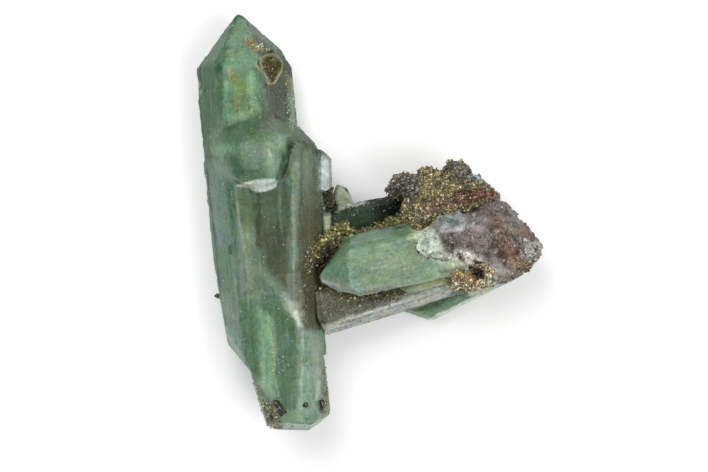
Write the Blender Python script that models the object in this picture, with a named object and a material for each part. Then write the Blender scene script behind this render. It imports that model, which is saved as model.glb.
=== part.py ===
"""Cluster of cloudy green quartz crystals grown with a purple-red quartz matrix and granular crusts.

The cluster lies on its back: the tall crystal rests on its rear prism face and the matrix on one low lump.
+Z points to the side that shows best, +Y runs up the tall crystal, and +X runs out to the matrix.
The origin is the middle of the cluster's outline, on the plane that it rests on.
Lengths and places below are millimetres; metres() turns them into Blender's metres.
"""

import math
from dataclasses import dataclass

import bmesh
import bpy
from mathutils import Matrix, Vector, geometry, noise

# Driving dimensions
GAP = 0.3
ORIGIN_SHIFT = Vector((0.1095, 0.1014, 0.0))
FACES = 6
RHOMB_SLOPE = math.radians(38.2)
TALL_AXIS_HEIGHT = 5.6
FRONT_AXIS_HEIGHT = 8.9
CUT_EPSILON = 1e-5
MATRIX_GROWTH = 0.38
SPECK_FLATNESS = 0.8
SPECK_ROLL = 15.0
NOISE_SEED = 7
LUMP_SPACING = 3.0
GRAIN_CELLS = 2.2
GRAIN_LEVEL = 0.45
DENT_ROUNDNESS = 0.7
SHAKE_PITCH = 3.7
SHAKE_CELLS = 0.3
RIM_CELLS = 0.55
LONGEST_CELLS = 1.7
HALVINGS = 3


@dataclass(frozen=True)
class Crystal:
    """One quartz prism. Faces are counted from the front one, and turn towards the right of the tip."""

    tip: tuple
    heading: float
    rise: float
    roll: float
    prism: tuple
    length: float
    caps: tuple = (0.0,) * FACES
    breaks: tuple = ()


TALL = Crystal(
    tip=(-17.7, 28.05, TALL_AXIS_HEIGHT),
    heading=96.0,
    rise=0.0,
    roll=0.0,
    prism=(5.6, 4.67, 6.55, 5.6, 5.62, 5.61),
    length=50.0,
    caps=(0.0, 0.45, 0.45, 0.2, 0.3, 0.3),
    breaks=(
        ((-20.3, -9.4, 0.0), (-0.984, -0.178, 0.0)),
        ((-17.5, -18.45, 0.0), (-0.74, -0.67, 0.0)),
        ((-15.5, -20.6, 0.0), (-0.25, -0.85, -0.45)),
        ((-13.0, -20.8, 3.0), (0.35, -0.8, -0.2)),
    ),
)
TALL_GROWTH_STEP = Crystal(
    tip=(-16.45, 16.1, TALL_AXIS_HEIGHT),
    heading=96.0,
    rise=0.0,
    roll=0.0,
    prism=(5.3, 4.3, 6.2, 5.25, 5.95, 5.95),
    length=36.0,
    breaks=(
        ((-20.4, -9.4, 0.0), (-0.984, -0.178, 0.0)),
        ((-17.6, -18.3, 0.0), (-0.74, -0.67, 0.0)),
    ),
)
TALL_SHOULDER_STEP = Crystal(
    tip=(-17.45, 25.5, TALL_AXIS_HEIGHT),
    heading=96.0,
    rise=0.0,
    roll=0.0,
    prism=(5.3, 4.3, 6.2, 5.25, 5.76, 5.76),
    length=17.0,
)
FRONT = Crystal(
    tip=(-12.2, 15.7, FRONT_AXIS_HEIGHT),
    heading=91.5,
    rise=0.0,
    roll=0.0,
    prism=(4.9, 4.21, 5.61, 4.9, 4.74, 4.88),
    length=34.0,
    breaks=(
        ((-11.5, 12.3, 10.6), (0.17, 0.8, 0.57)),
        ((-12.5, -11.6, 13.8), (-0.5, -0.55, 0.67)),
    ),
)
FRONT_DOME = Crystal(
    tip=(-15.3, 16.0, FRONT_AXIS_HEIGHT + 0.3),
    heading=93.0,
    rise=0.0,
    roll=0.0,
    prism=(5.7, 6.49, 5.0, 4.5, 5.2, 5.26),
    length=12.0,
    caps=(1.5, 0.4, 0.4, 0.0, 2.5, 2.5),
    breaks=(
        ((-15.3, 13.5, 11.2), (-0.08, 0.81, 0.58)),
        ((-15.3, 11.7, 13.8), (0.02, 0.36, 0.93)),
        ((-19.1, 12.2, 11.2), (-0.39, 0.66, 0.64)),
        ((-14.4, 7.5, 14.9), (-0.2, 0.03, 0.98)),
        ((-15.1, 5.0, 14.75), (0.08, -0.76, 0.65)),
        ((-17.0, 5.0, 13.2), (-0.35, -0.93, 0.1)),
        ((-19.5, 6.5, 12.0), (-0.79, -0.6, 0.1)),
        ((-13.0, 5.0, 12.0), (0.3, -0.95, -0.05)),
        ((-10.75, 8.5, 12.0), (0.93, -0.35, 0.1)),
    ),
)
LEFT_SLAB = Crystal(
    tip=(-16.2, 9.6, FRONT_AXIS_HEIGHT - 0.4),
    heading=94.5,
    rise=0.0,
    roll=0.0,
    prism=(4.1, 4.0, 4.0, 4.0, 4.0, 3.44),
    length=22.0,
    breaks=(((-14.5, -9.5, 12.6), (-0.2, -0.8, 0.55)),),
)
LOWER = Crystal(
    tip=(-12.6, -3.9, FRONT_AXIS_HEIGHT + 0.2),
    heading=96.0,
    rise=0.0,
    roll=10.0,
    prism=(4.56, 4.5, 4.6, 4.5, 4.56, 4.62),
    length=25.0,
    breaks=(
        ((-15.0, -23.7, 9.0), (-0.957, -0.289, 0.1)),
        ((-10.5, -27.95, 9.0), (-0.05, -0.97, 0.2)),
        ((-9.0, -27.6, 6.0), (0.1, -0.85, -0.5)),
        ((-6.05, -26.6, 9.0), (0.6, -0.8, 0.1)),
        ((-13.3, -26.6, 7.0), (-0.7, -0.6, -0.35)),
    ),
)
FLANGE = Crystal(
    tip=(-6.45, 9.9, 8.0),
    heading=91.0,
    rise=0.0,
    roll=8.0,
    prism=(0.95, 1.25, 1.25, 0.95, 1.3, 1.3),
    length=5.9,
    breaks=(((-5.3, 4.3, 8.0), (0.35, -0.93, 0.1)),),
)
PALE_SIDE = Crystal(
    tip=(-7.1, -7.9, 11.4),
    heading=192.0,
    rise=4.0,
    roll=0.0,
    prism=(3.0, 4.19, 4.39, 2.2, 1.93, 3.96),
    length=20.0,
    caps=(-0.7, 0.0, 0.0, -0.3, 0.1, -0.1),
    breaks=(((9.2, -2.5, 12.4), (0.55, 0.66, 0.5)),),
)
YELLOW_COMPANION = Crystal(
    tip=(3.7, -9.2, 10.2),
    heading=195.5,
    rise=3.0,
    roll=14.0,
    prism=(1.0, 1.0, 1.15, 1.0, 1.0, 1.05),
    length=9.0,
    caps=(-0.35, 0.1, 0.0, -0.2, -0.3, 0.0),
)
DARK_BACK = Crystal(
    tip=(-11.9, -2.85, 4.85),
    heading=191.0,
    rise=1.5,
    roll=8.0,
    prism=(2.9, 2.95, 3.0, 2.9, 2.9, 2.95),
    length=19.6,
)
PALE_BACK_TIP = Crystal(
    tip=(-4.35, 5.1, 5.9),
    heading=112.0,
    rise=6.0,
    roll=20.0,
    prism=(0.95, 1.05, 1.25, 1.0, 1.1, 1.2),
    length=5.0,
    caps=(0.0, 0.1, 0.25, 0.0, 0.0, -0.1),
)
GREY_LOWER = Crystal(
    tip=(-10.5, -13.2, 7.75),
    heading=197.0,
    rise=7.4,
    roll=6.0,
    prism=(3.16, 3.2, 3.1, 3.16, 3.2, 3.16),
    length=23.5,
)
GREEN_BLADE = Crystal(
    tip=(4.76, -12.45, 2.1),
    heading=206.6,
    rise=0.0,
    roll=14.0,
    prism=(1.45, 1.5, 1.4, 1.45, 2.55, 2.6),
    length=17.0,
    caps=(2.6, 0.3, 0.3, 2.0, 5.0, 5.0),
    breaks=(((6.6, -13.0, 2.1), (-0.27, -0.91, 0.3)), ((6.6, -13.0, 1.9), (-0.4, -0.8, -0.45))),
)
CLEAR_NUB = Crystal(
    tip=(15.1, 6.5, 8.6),
    heading=58.0,
    rise=8.0,
    roll=25.0,
    prism=(0.75, 0.8, 0.75, 0.7, 0.8, 0.75),
    length=3.4,
    caps=(0.0, -0.15, 0.1, 0.0, -0.1, 0.05),
)

# Small dark crystals grown on the main group: centre, heading, rise, half width, length
DARK_SPECKS = (
    ((-11.85, -25.05, 14.0), 125.0, 8.0, 0.5, 1.75),
    ((-8.5, -24.6, 13.45), 20.0, 30.0, 0.32, 0.8),
    ((-6.35, -25.0, 11.2), 80.0, 20.0, 0.45, 1.2),
    ((-20.7, -10.15, 5.7), 150.0, 10.0, 0.3, 0.95),
    ((-18.6, -3.75, 10.15), 97.0, 0.0, 0.4, 1.6),
    ((-13.0, -26.2, 12.8), 40.0, 20.0, 0.5, 1.4),
)

# Solution pit in the tall crystal's right shoulder, and the growth groove beside the left slab
PIT_CENTRE, PIT_RADII, PIT_DEPTH_AXIS = (-13.25, 21.0, 8.9), (2.3, 2.5, 1.35), (0.8, 0.12, 0.6)
GROOVE_TOP, GROOVE_FOOT, GROOVE_WIDTH, GROOVE_DEPTH = (-14.65, 4.4, 13.2), (-14.3, -3.6, 13.2), 0.45, 1.2


@dataclass(frozen=True)
class Mass:
    """A broken or granular lump: its outline seen from above, and how far it swells up and down."""

    outline: tuple
    middle: float
    up: float
    down: float
    shoulder: float
    cell: float
    lump: float
    grain: float
    seed: float
    rim: float = 0.9
    dents: tuple = ()


MATRIX = Mass(
    outline=(
        (5.3, -0.7), (6.6, 0.4), (9.6, 1.3), (12.3, 2.4), (14.7, 2.9), (17.2, 2.8), (18.5, 2.0),
        (19.6, 0.5), (21.1, -0.4), (22.2, -1.7), (22.8, -2.7), (23.2, -3.7), (22.7, -4.9),
        (22.3, -5.8), (21.4, -6.8), (19.7, -7.6), (18.4, -8.4), (16.9, -8.0), (16.1, -6.9),
        (14.7, -6.5), (12.6, -6.8), (11.0, -7.4), (9.1, -7.7), (7.5, -7.6), (6.1, -6.3), (5.3, -3.9),
    ),
    middle=7.2,
    up=6.9,
    down=5.9,
    shoulder=3.6,
    cell=1.0,
    lump=0.55,
    grain=0.28,
    seed=3.0,
    dents=(
        (12.0, -2.9, 1.9, -1.1),
        (19.5, -3.0, 3.0, -1.2),
        (9.5, -2.0, 3.2, 0.8),
        (15.0, 1.5, 2.5, -0.8),
        (8.3, -7.6, 3.6, -6.0),
    ),
)
MATRIX_FOOT, MATRIX_FOOT_RADIUS, MATRIX_FOOT_DROP = (17.4, -3.6), 3.2, 2.6
GARNET_CRUST = Mass(
    outline=(
        (2.3, 4.2), (2.9, 5.5), (3.5, 6.2), (4.9, 6.4), (6.2, 6.2), (7.2, 6.7), (8.9, 6.6), (10.3, 6.9),
        (10.6, 7.3), (11.4, 7.8), (12.5, 7.7), (13.0, 6.9), (13.6, 6.2), (15.2, 5.6), (16.1, 4.6),
        (16.8, 3.7), (17.2, 2.5), (15.0, 1.6), (12.3, 0.8), (9.6, -0.6), (6.9, -1.4), (4.9, -0.4),
        (4.6, 2.8), (3.7, 3.3),
    ),
    middle=8.4,
    up=5.2,
    down=4.6,
    shoulder=2.4,
    cell=0.78,
    lump=0.4,
    grain=0.34,
    seed=11.0,
    dents=((3.6, 4.9, 1.6, -0.9), (11.7, 6.3, 1.5, 0.3)),
)
LOWER_CRUST = Mass(
    outline=(
        (10.3, -6.9), (11.0, -5.8), (12.6, -5.3), (14.7, -5.0), (16.6, -5.6), (17.4, -6.9),
        (17.2, -8.0), (15.8, -8.9), (13.9, -9.4), (12.0, -9.4), (10.6, -8.6),
    ),
    middle=9.4,
    up=3.6,
    down=2.9,
    shoulder=1.7,
    cell=0.66,
    lump=0.35,
    grain=0.3,
    seed=23.0,
    rim=0.7,
    dents=((14.7, -7.2, 0.9, -2.2),),
)
SEAM_CRUST = Mass(
    outline=(
        (-8.9, -6.4), (-8.1, -4.9), (-7.1, -3.4), (-6.7, -2.1), (-5.2, -1.1), (-3.5, -0.4), (-2.3, -1.0),
        (0.2, -0.6), (2.9, 0.4), (4.8, 0.9), (5.6, -0.6), (5.6, -3.9), (5.9, -7.5), (4.9, -8.9),
        (1.5, -10.2), (-3.2, -10.7), (-6.9, -10.2), (-7.9, -8.8),
    ),
    middle=7.0,
    up=2.6,
    down=2.2,
    shoulder=1.2,
    cell=0.72,
    lump=0.3,
    grain=0.32,
    seed=31.0,
    rim=0.8,
    dents=((-6.6, -7.6, 2.0, -1.6), (-5.6, -2.6, 1.6, 0.8), (3.4, -9.0, 4.0, -2.6)),
)

# Base colour, roughness and metallic value of each piece
FINISHES = {
    "main_crystals": ((0.16, 0.27, 0.19), 0.35, 0.0),
    "pale_side_crystal": ((0.25, 0.4, 0.3), 0.35, 0.0),
    "dark_back_crystal": ((0.05, 0.1, 0.07), 0.3, 0.0),
    "lower_grey_crystal": ((0.24, 0.23, 0.2), 0.45, 0.0),
    "green_blade_crystal": ((0.15, 0.26, 0.18), 0.35, 0.0),
    "quartz_matrix": ((0.22, 0.13, 0.13), 0.6, 0.0),
    "garnet_crust": ((0.2, 0.15, 0.06), 0.5, 0.0),
    "lower_garnet_crust": ((0.22, 0.12, 0.06), 0.5, 0.0),
    "seam_crust": ((0.2, 0.17, 0.05), 0.5, 0.0),
}


def clear_scene():
    """Remove every object that the startup scene holds."""
    for obj in list(bpy.data.objects):
        bpy.data.objects.remove(obj)


def axes_of(crystal):
    """Return the crystal's unit vectors: towards its tip, towards its front, and to the right."""
    heading, rise = math.radians(crystal.heading), math.radians(crystal.rise)
    level = math.cos(rise)
    axis = Vector((math.cos(heading) * level, math.sin(heading) * level, math.sin(rise)))
    front = (Vector((0.0, 0.0, 1.0)) - axis * axis.z).normalized()
    return axis, front, axis.cross(front)


def face_planes(crystal, grow):
    """List (point, outward normal) of the prism, cap, root and broken faces, each moved out by grow."""
    axis, front, side = axes_of(crystal)
    tip = Vector(crystal.tip)
    planes = []
    for face in range(FACES):
        turn = math.radians(crystal.roll) + face * math.tau / FACES
        radial = front * math.cos(turn) + side * math.sin(turn)
        cap_normal = axis * math.sin(RHOMB_SLOPE) + radial * math.cos(RHOMB_SLOPE)
        planes.append((tip + radial * (crystal.prism[face] + grow), radial))
        planes.append((tip + axis * crystal.caps[face] + cap_normal * grow, cap_normal))
    planes.append((tip - axis * (crystal.length + grow), -axis))
    for point, normal in crystal.breaks:
        outward = Vector(normal).normalized()
        planes.append((Vector(point) + outward * grow, outward))
    return planes


def cut_by_plane(bm, point, normal):
    """Keep what lies behind the plane, and close the cut with one flat face."""
    geom = bm.verts[:] + bm.edges[:] + bm.faces[:]
    bmesh.ops.bisect_plane(
        bm, geom=geom, dist=CUT_EPSILON, plane_co=point, plane_no=normal, clear_outer=True
    )
    rim = [edge for edge in bm.edges if edge.is_boundary]
    if rim:
        bmesh.ops.edgeloop_fill(bm, edges=rim)


def crystal_mesh(crystal, grow=0.0):
    """Cut a block down to the crystal's flat faces."""
    axis = axes_of(crystal)[0]
    bm = bmesh.new()
    middle = Vector(crystal.tip) - axis * crystal.length / 2
    bmesh.ops.create_cube(bm, size=4 * crystal.length, matrix=Matrix.Translation(middle))
    for point, normal in face_planes(crystal, grow):
        cut_by_plane(bm, point, normal)
    bmesh.ops.recalc_face_normals(bm, faces=bm.faces[:])
    return bm


def speck_crystal(centre, heading, rise, half_width, length):
    """Describe one small dark crystal, blunt and slightly flattened."""
    heading_turn, rise_turn = math.radians(heading), math.radians(rise)
    level = math.cos(rise_turn)
    axis = Vector((math.cos(heading_turn) * level, math.sin(heading_turn) * level, math.sin(rise_turn)))
    tip = Vector(centre) + axis * length / 2
    flat = half_width * SPECK_FLATNESS
    widths = (flat, half_width, half_width, flat, half_width, half_width)
    return Crystal(
        tip=tuple(tip), heading=heading, rise=rise, roll=SPECK_ROLL, prism=widths, length=length
    )


def ellipsoid_mesh(centre, radii, depth_direction):
    """A faceted ellipsoid whose third radius lies along depth_direction."""
    bm = bmesh.new()
    bmesh.ops.create_icosphere(bm, subdivisions=2, radius=1.0)
    turn = Vector((0.0, 0.0, 1.0)).rotation_difference(Vector(depth_direction)).to_matrix().to_4x4()
    bm.transform(Matrix.Translation(centre) @ turn @ Matrix.Diagonal((*radii, 1.0)))
    return bm


def groove_mesh(top, foot, width, depth):
    """A long wedge, sharp edge down, that cuts a growth groove."""
    bm = bmesh.new()
    side = Vector((width, 0.0, 0.0))
    sink = Vector((0.0, 0.0, depth))
    rings = []
    for end in (Vector(top), Vector(foot)):
        corners = (end + sink - side, end + sink + side * 2, end)
        rings.append([bm.verts.new(corner) for corner in corners])
    bm.faces.new(rings[0])
    bm.faces.new(rings[1])
    for corner in range(3):
        following = (corner + 1) % 3
        bm.faces.new((rings[0][corner], rings[0][following], rings[1][following], rings[1][corner]))
    bmesh.ops.recalc_face_normals(bm, faces=bm.faces[:])
    return bm


def ragged_ring(mass):
    """Walk round the outline in steps of one cell, with a seeded raggedness."""
    points = [Vector((*point, 0.0)) for point in mass.outline]
    ring = []
    for here, after in zip(points, points[1:] + points[:1]):
        steps = max(1, round((after - here).length / mass.cell))
        for step in range(steps):
            spot = here.lerp(after, step / steps)
            shift = noise.noise_vector(spot / (2 * mass.cell) + Vector((0.0, 0.0, mass.seed)))
            ring.append(spot + Vector((shift.x, shift.y, 0.0)) * mass.grain)
    return ring


def edge_distance(spot, ring):
    """Shortest distance in the plane from a spot to the ring."""
    nearest = math.inf
    for here, after in zip(ring, ring[1:] + ring[:1]):
        foot, share = geometry.intersect_point_line(spot, here, after)
        closest = here.lerp(after, min(max(share, 0.0), 1.0))
        nearest = min(nearest, (closest - spot).length)
    return nearest


def inside(spot, ring):
    """Say whether a spot lies inside the ring, by counting crossings."""
    crossings = 0
    for here, after in zip(ring, ring[1:] + ring[:1]):
        if (here.y > spot.y) != (after.y > spot.y):
            reach = here.x + (spot.y - here.y) * (after.x - here.x) / (after.y - here.y)
            crossings += reach > spot.x
    return crossings % 2 == 1


def scattered_spots(mass, ring):
    """A shaken hexagonal grid of spots that stay clear of the ring."""
    xs, ys = [p.x for p in ring], [p.y for p in ring]
    row_height = mass.cell * math.sqrt(3) / 2
    spots = []
    for row in range(int((max(ys) - min(ys)) / row_height) + 1):
        for column in range(int((max(xs) - min(xs)) / mass.cell) + 2):
            spot = Vector((min(xs) + (column + row % 2 / 2) * mass.cell, min(ys) + row * row_height, 0.0))
            shake = noise.noise_vector(spot * SHAKE_PITCH + Vector((mass.seed, 0.0, 0.0)))
            spot += Vector((shake.x, shake.y, 0.0)) * mass.cell * SHAKE_CELLS
            if inside(spot, ring) and edge_distance(spot, ring) > mass.cell * RIM_CELLS:
                spots.append(spot)
    return spots


def relief(mass, place):
    """Height of the lumps and grains at a place on the mass, the same in each run."""
    broad = noise.noise(place / LUMP_SPACING + Vector((mass.seed, 0.0, 0.0)))
    grain_centres = noise.voronoi(place / (GRAIN_CELLS * mass.cell) + Vector((0.0, mass.seed, 0.0)))[0]
    return broad * mass.lump * 2 + (GRAIN_LEVEL - grain_centres[0]) * mass.grain * 2


def dent_depth(dents, spot):
    """Sum of the smooth dents and swellings at a spot."""
    total = 0.0
    for x, y, radius, height in dents:
        share = 1 - (Vector((x, y, 0.0)) - spot).length / radius
        total += height * max(share, 0.0) ** DENT_ROUNDNESS
    return total


def roughen(bm, mass):
    """Halve the long edges of the steep sides, then raise lumps and grains along the normals."""
    for _ in range(HALVINGS):
        long_edges = [edge for edge in bm.edges if edge.calc_length() > LONGEST_CELLS * mass.cell]
        bmesh.ops.subdivide_edges(bm, edges=long_edges, cuts=1)
        bmesh.ops.triangulate(bm, faces=bm.faces[:])
    bm.normal_update()
    heights = [(vert, vert.normal * relief(mass, vert.co)) for vert in bm.verts]
    for vert, height in heights:
        vert.co += height
        vert.co.z = max(vert.co.z, 0.0)


def mass_mesh(mass, foot=None):
    """Close a swelling top and underside over the outline, with a low wall between them."""
    ring = ragged_ring(mass)
    spots = ring + scattered_spots(mass, ring)
    edges = [(index, (index + 1) % len(ring)) for index in range(len(ring))]
    flat = [spot.to_2d() for spot in spots]
    places, _, triangles, origins, _, _ = geometry.delaunay_2d_cdt(flat, edges, [], 1, CUT_EPSILON)
    bm = bmesh.new()
    tops, bases = [], []
    for place in places:
        spot = place.to_3d()
        share = min(edge_distance(spot, ring) / mass.shoulder, 1.0)
        swell = math.sqrt(1 - (1 - share) ** 2)
        top = mass.middle + mass.rim + (mass.up - mass.rim) * swell
        base = mass.middle - mass.rim - (mass.down - mass.rim) * swell
        top += dent_depth(mass.dents, spot) * swell
        if foot:
            base -= dent_depth((foot,), spot)
        tops.append(bm.verts.new((spot.x, spot.y, top)))
        bases.append(bm.verts.new((spot.x, spot.y, base)))
    for a, b, c in triangles:
        bm.faces.new((tops[a], tops[b], tops[c]))
        bm.faces.new((bases[c], bases[b], bases[a]))
    order = {origin[0]: index for index, origin in enumerate(origins)}
    for here, after in edges:
        first, second = order[here], order[after]
        bm.faces.new((tops[second], tops[first], bases[first], bases[second]))
    bmesh.ops.triangulate(bm, faces=bm.faces[:])
    bmesh.ops.recalc_face_normals(bm, faces=bm.faces[:])
    roughen(bm, mass)
    return bm


def grown(bm, distance):
    """Move each point out along its normal."""
    bm.normal_update()
    moves = [(vert, vert.normal * distance) for vert in bm.verts]
    for vert, move in moves:
        vert.co += move
    return bm


def metres(bm, name):
    """Make an object from a mesh drawn in millimetres."""
    bm.transform(Matrix.Diagonal((0.001, 0.001, 0.001, 1.0)) @ Matrix.Translation(ORIGIN_SHIFT))
    mesh = bpy.data.meshes.new(name)
    bm.to_mesh(mesh)
    bm.free()
    obj = bpy.data.objects.new(name, mesh)
    bpy.context.scene.collection.objects.link(obj)
    return obj


def helper(bm, name):
    """Make a cutter or a joined shape that is not a piece of its own."""
    obj = metres(bm, name)
    obj.hide_render = True
    obj.display_type = "WIRE"
    return obj


def combine(target, others, operation, folded=False):
    """Join or cut the target with each helper, in order. A folded helper may cross itself."""
    for other in others:
        modifier = target.modifiers.new(f"{operation.lower()} {other.name}", "BOOLEAN")
        modifier.operation = operation
        modifier.object = other
        modifier.solver = "EXACT"
        modifier.use_self = folded


def keep_clear(target, crystals):
    """Cut room for crystals that grow into the target, with the gap that neighbours keep."""
    for name, crystal in crystals.items():
        room = helper(crystal_mesh(crystal, GAP), f"room_{name}_in_{target.name}")
        combine(target, [room], "DIFFERENCE")


def finish(obj):
    """Give the piece its own material."""
    colour, roughness, metallic = FINISHES[obj.name]
    material = bpy.data.materials.new(obj.name)
    material.use_nodes = True
    shader = material.node_tree.nodes["Principled BSDF"]
    shader.inputs["Base Color"].default_value = (*colour, 1.0)
    shader.inputs["Roughness"].default_value = roughness
    shader.inputs["Metallic"].default_value = metallic
    material.diffuse_color = (*colour, 1.0)
    obj.data.materials.append(material)


def main_crystals():
    """The tall crystal, the front crystal with its dome, slab and lower end, grown as one piece."""
    main = metres(crystal_mesh(TALL), "main_crystals")
    grown_on = {
        "growth_step": TALL_GROWTH_STEP,
        "shoulder_step": TALL_SHOULDER_STEP,
        "left_slab": LEFT_SLAB,
        "front": FRONT,
        "lower": LOWER,
        "front_dome": FRONT_DOME,
        "flange": FLANGE,
    }
    combine(main, [helper(crystal_mesh(c), name) for name, c in grown_on.items()], "UNION")
    pit = helper(ellipsoid_mesh(PIT_CENTRE, PIT_RADII, PIT_DEPTH_AXIS), "pit")
    groove = helper(groove_mesh(GROOVE_TOP, GROOVE_FOOT, GROOVE_WIDTH, GROOVE_DEPTH), "groove")
    combine(main, [pit, groove], "DIFFERENCE")
    specks = [
        helper(crystal_mesh(speck_crystal(*speck)), f"speck_{number}")
        for number, speck in enumerate(DARK_SPECKS, 1)
    ]
    combine(main, specks, "UNION")
    return main


def side_crystals():
    """The four crystals that root in the matrix, with the small ones grown on them."""
    pale = metres(crystal_mesh(PALE_SIDE), "pale_side_crystal")
    combine(pale, [helper(crystal_mesh(YELLOW_COMPANION), "yellow_companion")], "UNION")
    dark = metres(crystal_mesh(DARK_BACK), "dark_back_crystal")
    combine(dark, [helper(crystal_mesh(PALE_BACK_TIP), "pale_back_tip")], "UNION")
    grey = metres(crystal_mesh(GREY_LOWER), "lower_grey_crystal")
    blade = metres(crystal_mesh(GREEN_BLADE), "green_blade_crystal")
    for crystal in (dark, grey):
        keep_clear(crystal, {"front": FRONT, "tall": TALL, "lower": LOWER, "flange": FLANGE})
    keep_clear(grey, {"pale": PALE_SIDE, "companion": YELLOW_COMPANION})
    keep_clear(blade, {"grey": GREY_LOWER})
    return [pale, dark, grey, blade]


def matrix_and_crusts():
    """The broken quartz matrix and the three granular crusts that hold on to it."""
    foot = (*MATRIX_FOOT, MATRIX_FOOT_RADIUS, MATRIX_FOOT_DROP)
    rooted = {
        "pale": PALE_SIDE,
        "companion": YELLOW_COMPANION,
        "dark": DARK_BACK,
        "grey": GREY_LOWER,
        "blade": GREEN_BLADE,
    }
    matrix = metres(mass_mesh(MATRIX, foot), "quartz_matrix")
    keep_clear(matrix, rooted)
    matrix_room = helper(grown(mass_mesh(MATRIX, foot), MATRIX_GROWTH), "room_matrix")
    garnet = metres(mass_mesh(GARNET_CRUST), "garnet_crust")
    combine(garnet, [matrix_room], "DIFFERENCE", folded=True)
    keep_clear(garnet, {"dark": DARK_BACK, "pale": PALE_SIDE})
    combine(garnet, [helper(crystal_mesh(CLEAR_NUB), "clear_nub")], "UNION")
    lower = metres(mass_mesh(LOWER_CRUST), "lower_garnet_crust")
    combine(lower, [matrix_room], "DIFFERENCE", folded=True)
    keep_clear(lower, rooted)
    garnet_room = helper(grown(mass_mesh(GARNET_CRUST), MATRIX_GROWTH), "room_garnet")
    seam = metres(mass_mesh(SEAM_CRUST), "seam_crust")
    combine(seam, [matrix_room, garnet_room], "DIFFERENCE", folded=True)
    keep_clear(seam, {**rooted, "front": FRONT, "tall": TALL, "lower": LOWER})
    return [matrix, garnet, lower, seam]


def build():
    """Build every piece of the cluster."""
    clear_scene()
    noise.seed_set(NOISE_SEED)
    pieces = [main_crystals(), *side_crystals(), *matrix_and_crusts()]
    for piece in pieces:
        finish(piece)


build()
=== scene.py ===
"""Cloudy green quartz cluster lying on its back, dressed for a camera that looks straight down on it.

Meshes are worked out in millimetres and turned into metres when a piece is made. Places on the side that
shows are given in the photograph's pixels, which stand 0.135 mm apart on the part.
"""

import itertools
import logging
import math
from dataclasses import dataclass, field
from enum import Enum
from typing import Any, Optional, Sequence, Union

import bmesh
import bpy
import numpy as np
from mathutils import Matrix, Vector, kdtree
from mathutils.bvhtree import BVHTree


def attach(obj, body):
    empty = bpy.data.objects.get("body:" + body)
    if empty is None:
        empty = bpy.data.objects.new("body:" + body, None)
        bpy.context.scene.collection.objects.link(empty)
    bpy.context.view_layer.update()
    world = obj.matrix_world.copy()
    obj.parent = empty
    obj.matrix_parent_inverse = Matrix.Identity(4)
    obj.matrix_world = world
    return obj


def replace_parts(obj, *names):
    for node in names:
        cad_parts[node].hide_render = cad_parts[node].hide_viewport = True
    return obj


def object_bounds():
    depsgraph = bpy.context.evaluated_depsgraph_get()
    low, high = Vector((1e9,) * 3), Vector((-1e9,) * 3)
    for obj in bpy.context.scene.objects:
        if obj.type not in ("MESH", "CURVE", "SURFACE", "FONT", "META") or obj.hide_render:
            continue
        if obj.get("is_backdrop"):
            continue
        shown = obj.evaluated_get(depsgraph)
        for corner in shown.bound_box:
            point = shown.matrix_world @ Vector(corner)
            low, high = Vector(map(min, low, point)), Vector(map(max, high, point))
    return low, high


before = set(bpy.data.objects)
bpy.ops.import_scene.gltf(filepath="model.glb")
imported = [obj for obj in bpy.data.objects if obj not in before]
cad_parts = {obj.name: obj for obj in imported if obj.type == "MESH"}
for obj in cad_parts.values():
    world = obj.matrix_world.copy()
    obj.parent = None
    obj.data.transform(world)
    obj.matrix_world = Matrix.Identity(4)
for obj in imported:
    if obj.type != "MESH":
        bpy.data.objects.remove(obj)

PACKED_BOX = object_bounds()
LOG = logging.getLogger("quartz_cluster")

Colour = tuple[float, float, float]
Spot = tuple[float, float]
Way = tuple[float, float, float]

MM_PER_METRE = 1000.0
MM_PER_PIXEL = 0.135
MIDDLE_PIXEL = (368.75, 220.75)
ORIGIN_SHIFT = (0.1095, 0.1014)


# Numbers that vary over space


def ramp(values: np.ndarray, low: float, high: float) -> np.ndarray:
    """Rise smoothly from 0 at low to 1 at high, or fall if high is the smaller.

    Args:
        values: What is compared with the two limits.
        low: Where the result is 0.
        high: Where the result is 1.

    Returns:
        An array of the same shape, from 0 to 1.
    """
    share = np.clip((values - low) / (high - low), 0.0, 1.0)
    return share * share * (3.0 - 2.0 * share)


def cell_numbers(cells: np.ndarray, seed: int) -> np.ndarray:
    """Give each whole-number cell a number from 0 to 1 that never changes.

    Args:
        cells: Whole numbers, three to a cell, along the last axis.
        seed: Which of many such sets of numbers is wanted.

    Returns:
        One number a cell.
    """
    mixed = cells[..., 0] * 73856093 ^ cells[..., 1] * 19349663 ^ cells[..., 2] * 83492791
    mixed = mixed ^ (seed * 668265263)
    mixed = (mixed ^ (mixed >> 13)) * 1274126177
    mixed = (mixed ^ (mixed >> 15)) * 1103515245
    return ((mixed ^ (mixed >> 16)) & 0xFFFFF) / float(0xFFFFF)


def soft_noise(points: np.ndarray, cell: float, seed: int) -> np.ndarray:
    """Smooth noise between -1 and 1.

    Args:
        points: Places in millimetres.
        cell: Size of one swelling in millimetres.
        seed: Which noise is wanted.

    Returns:
        One value a point.
    """
    scaled = points / cell
    base = np.floor(scaled).astype(np.int64)
    part = scaled - base
    ease = part * part * (3.0 - 2.0 * part)
    total = np.zeros(len(points))
    for corner in itertools.product((0, 1), repeat=3):
        weight = np.ones(len(points))
        for axis, step in enumerate(corner):
            weight *= ease[:, axis] if step else 1.0 - ease[:, axis]
        total += weight * cell_numbers(base + np.array(corner), seed)
    return total * 2.0 - 1.0


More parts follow.
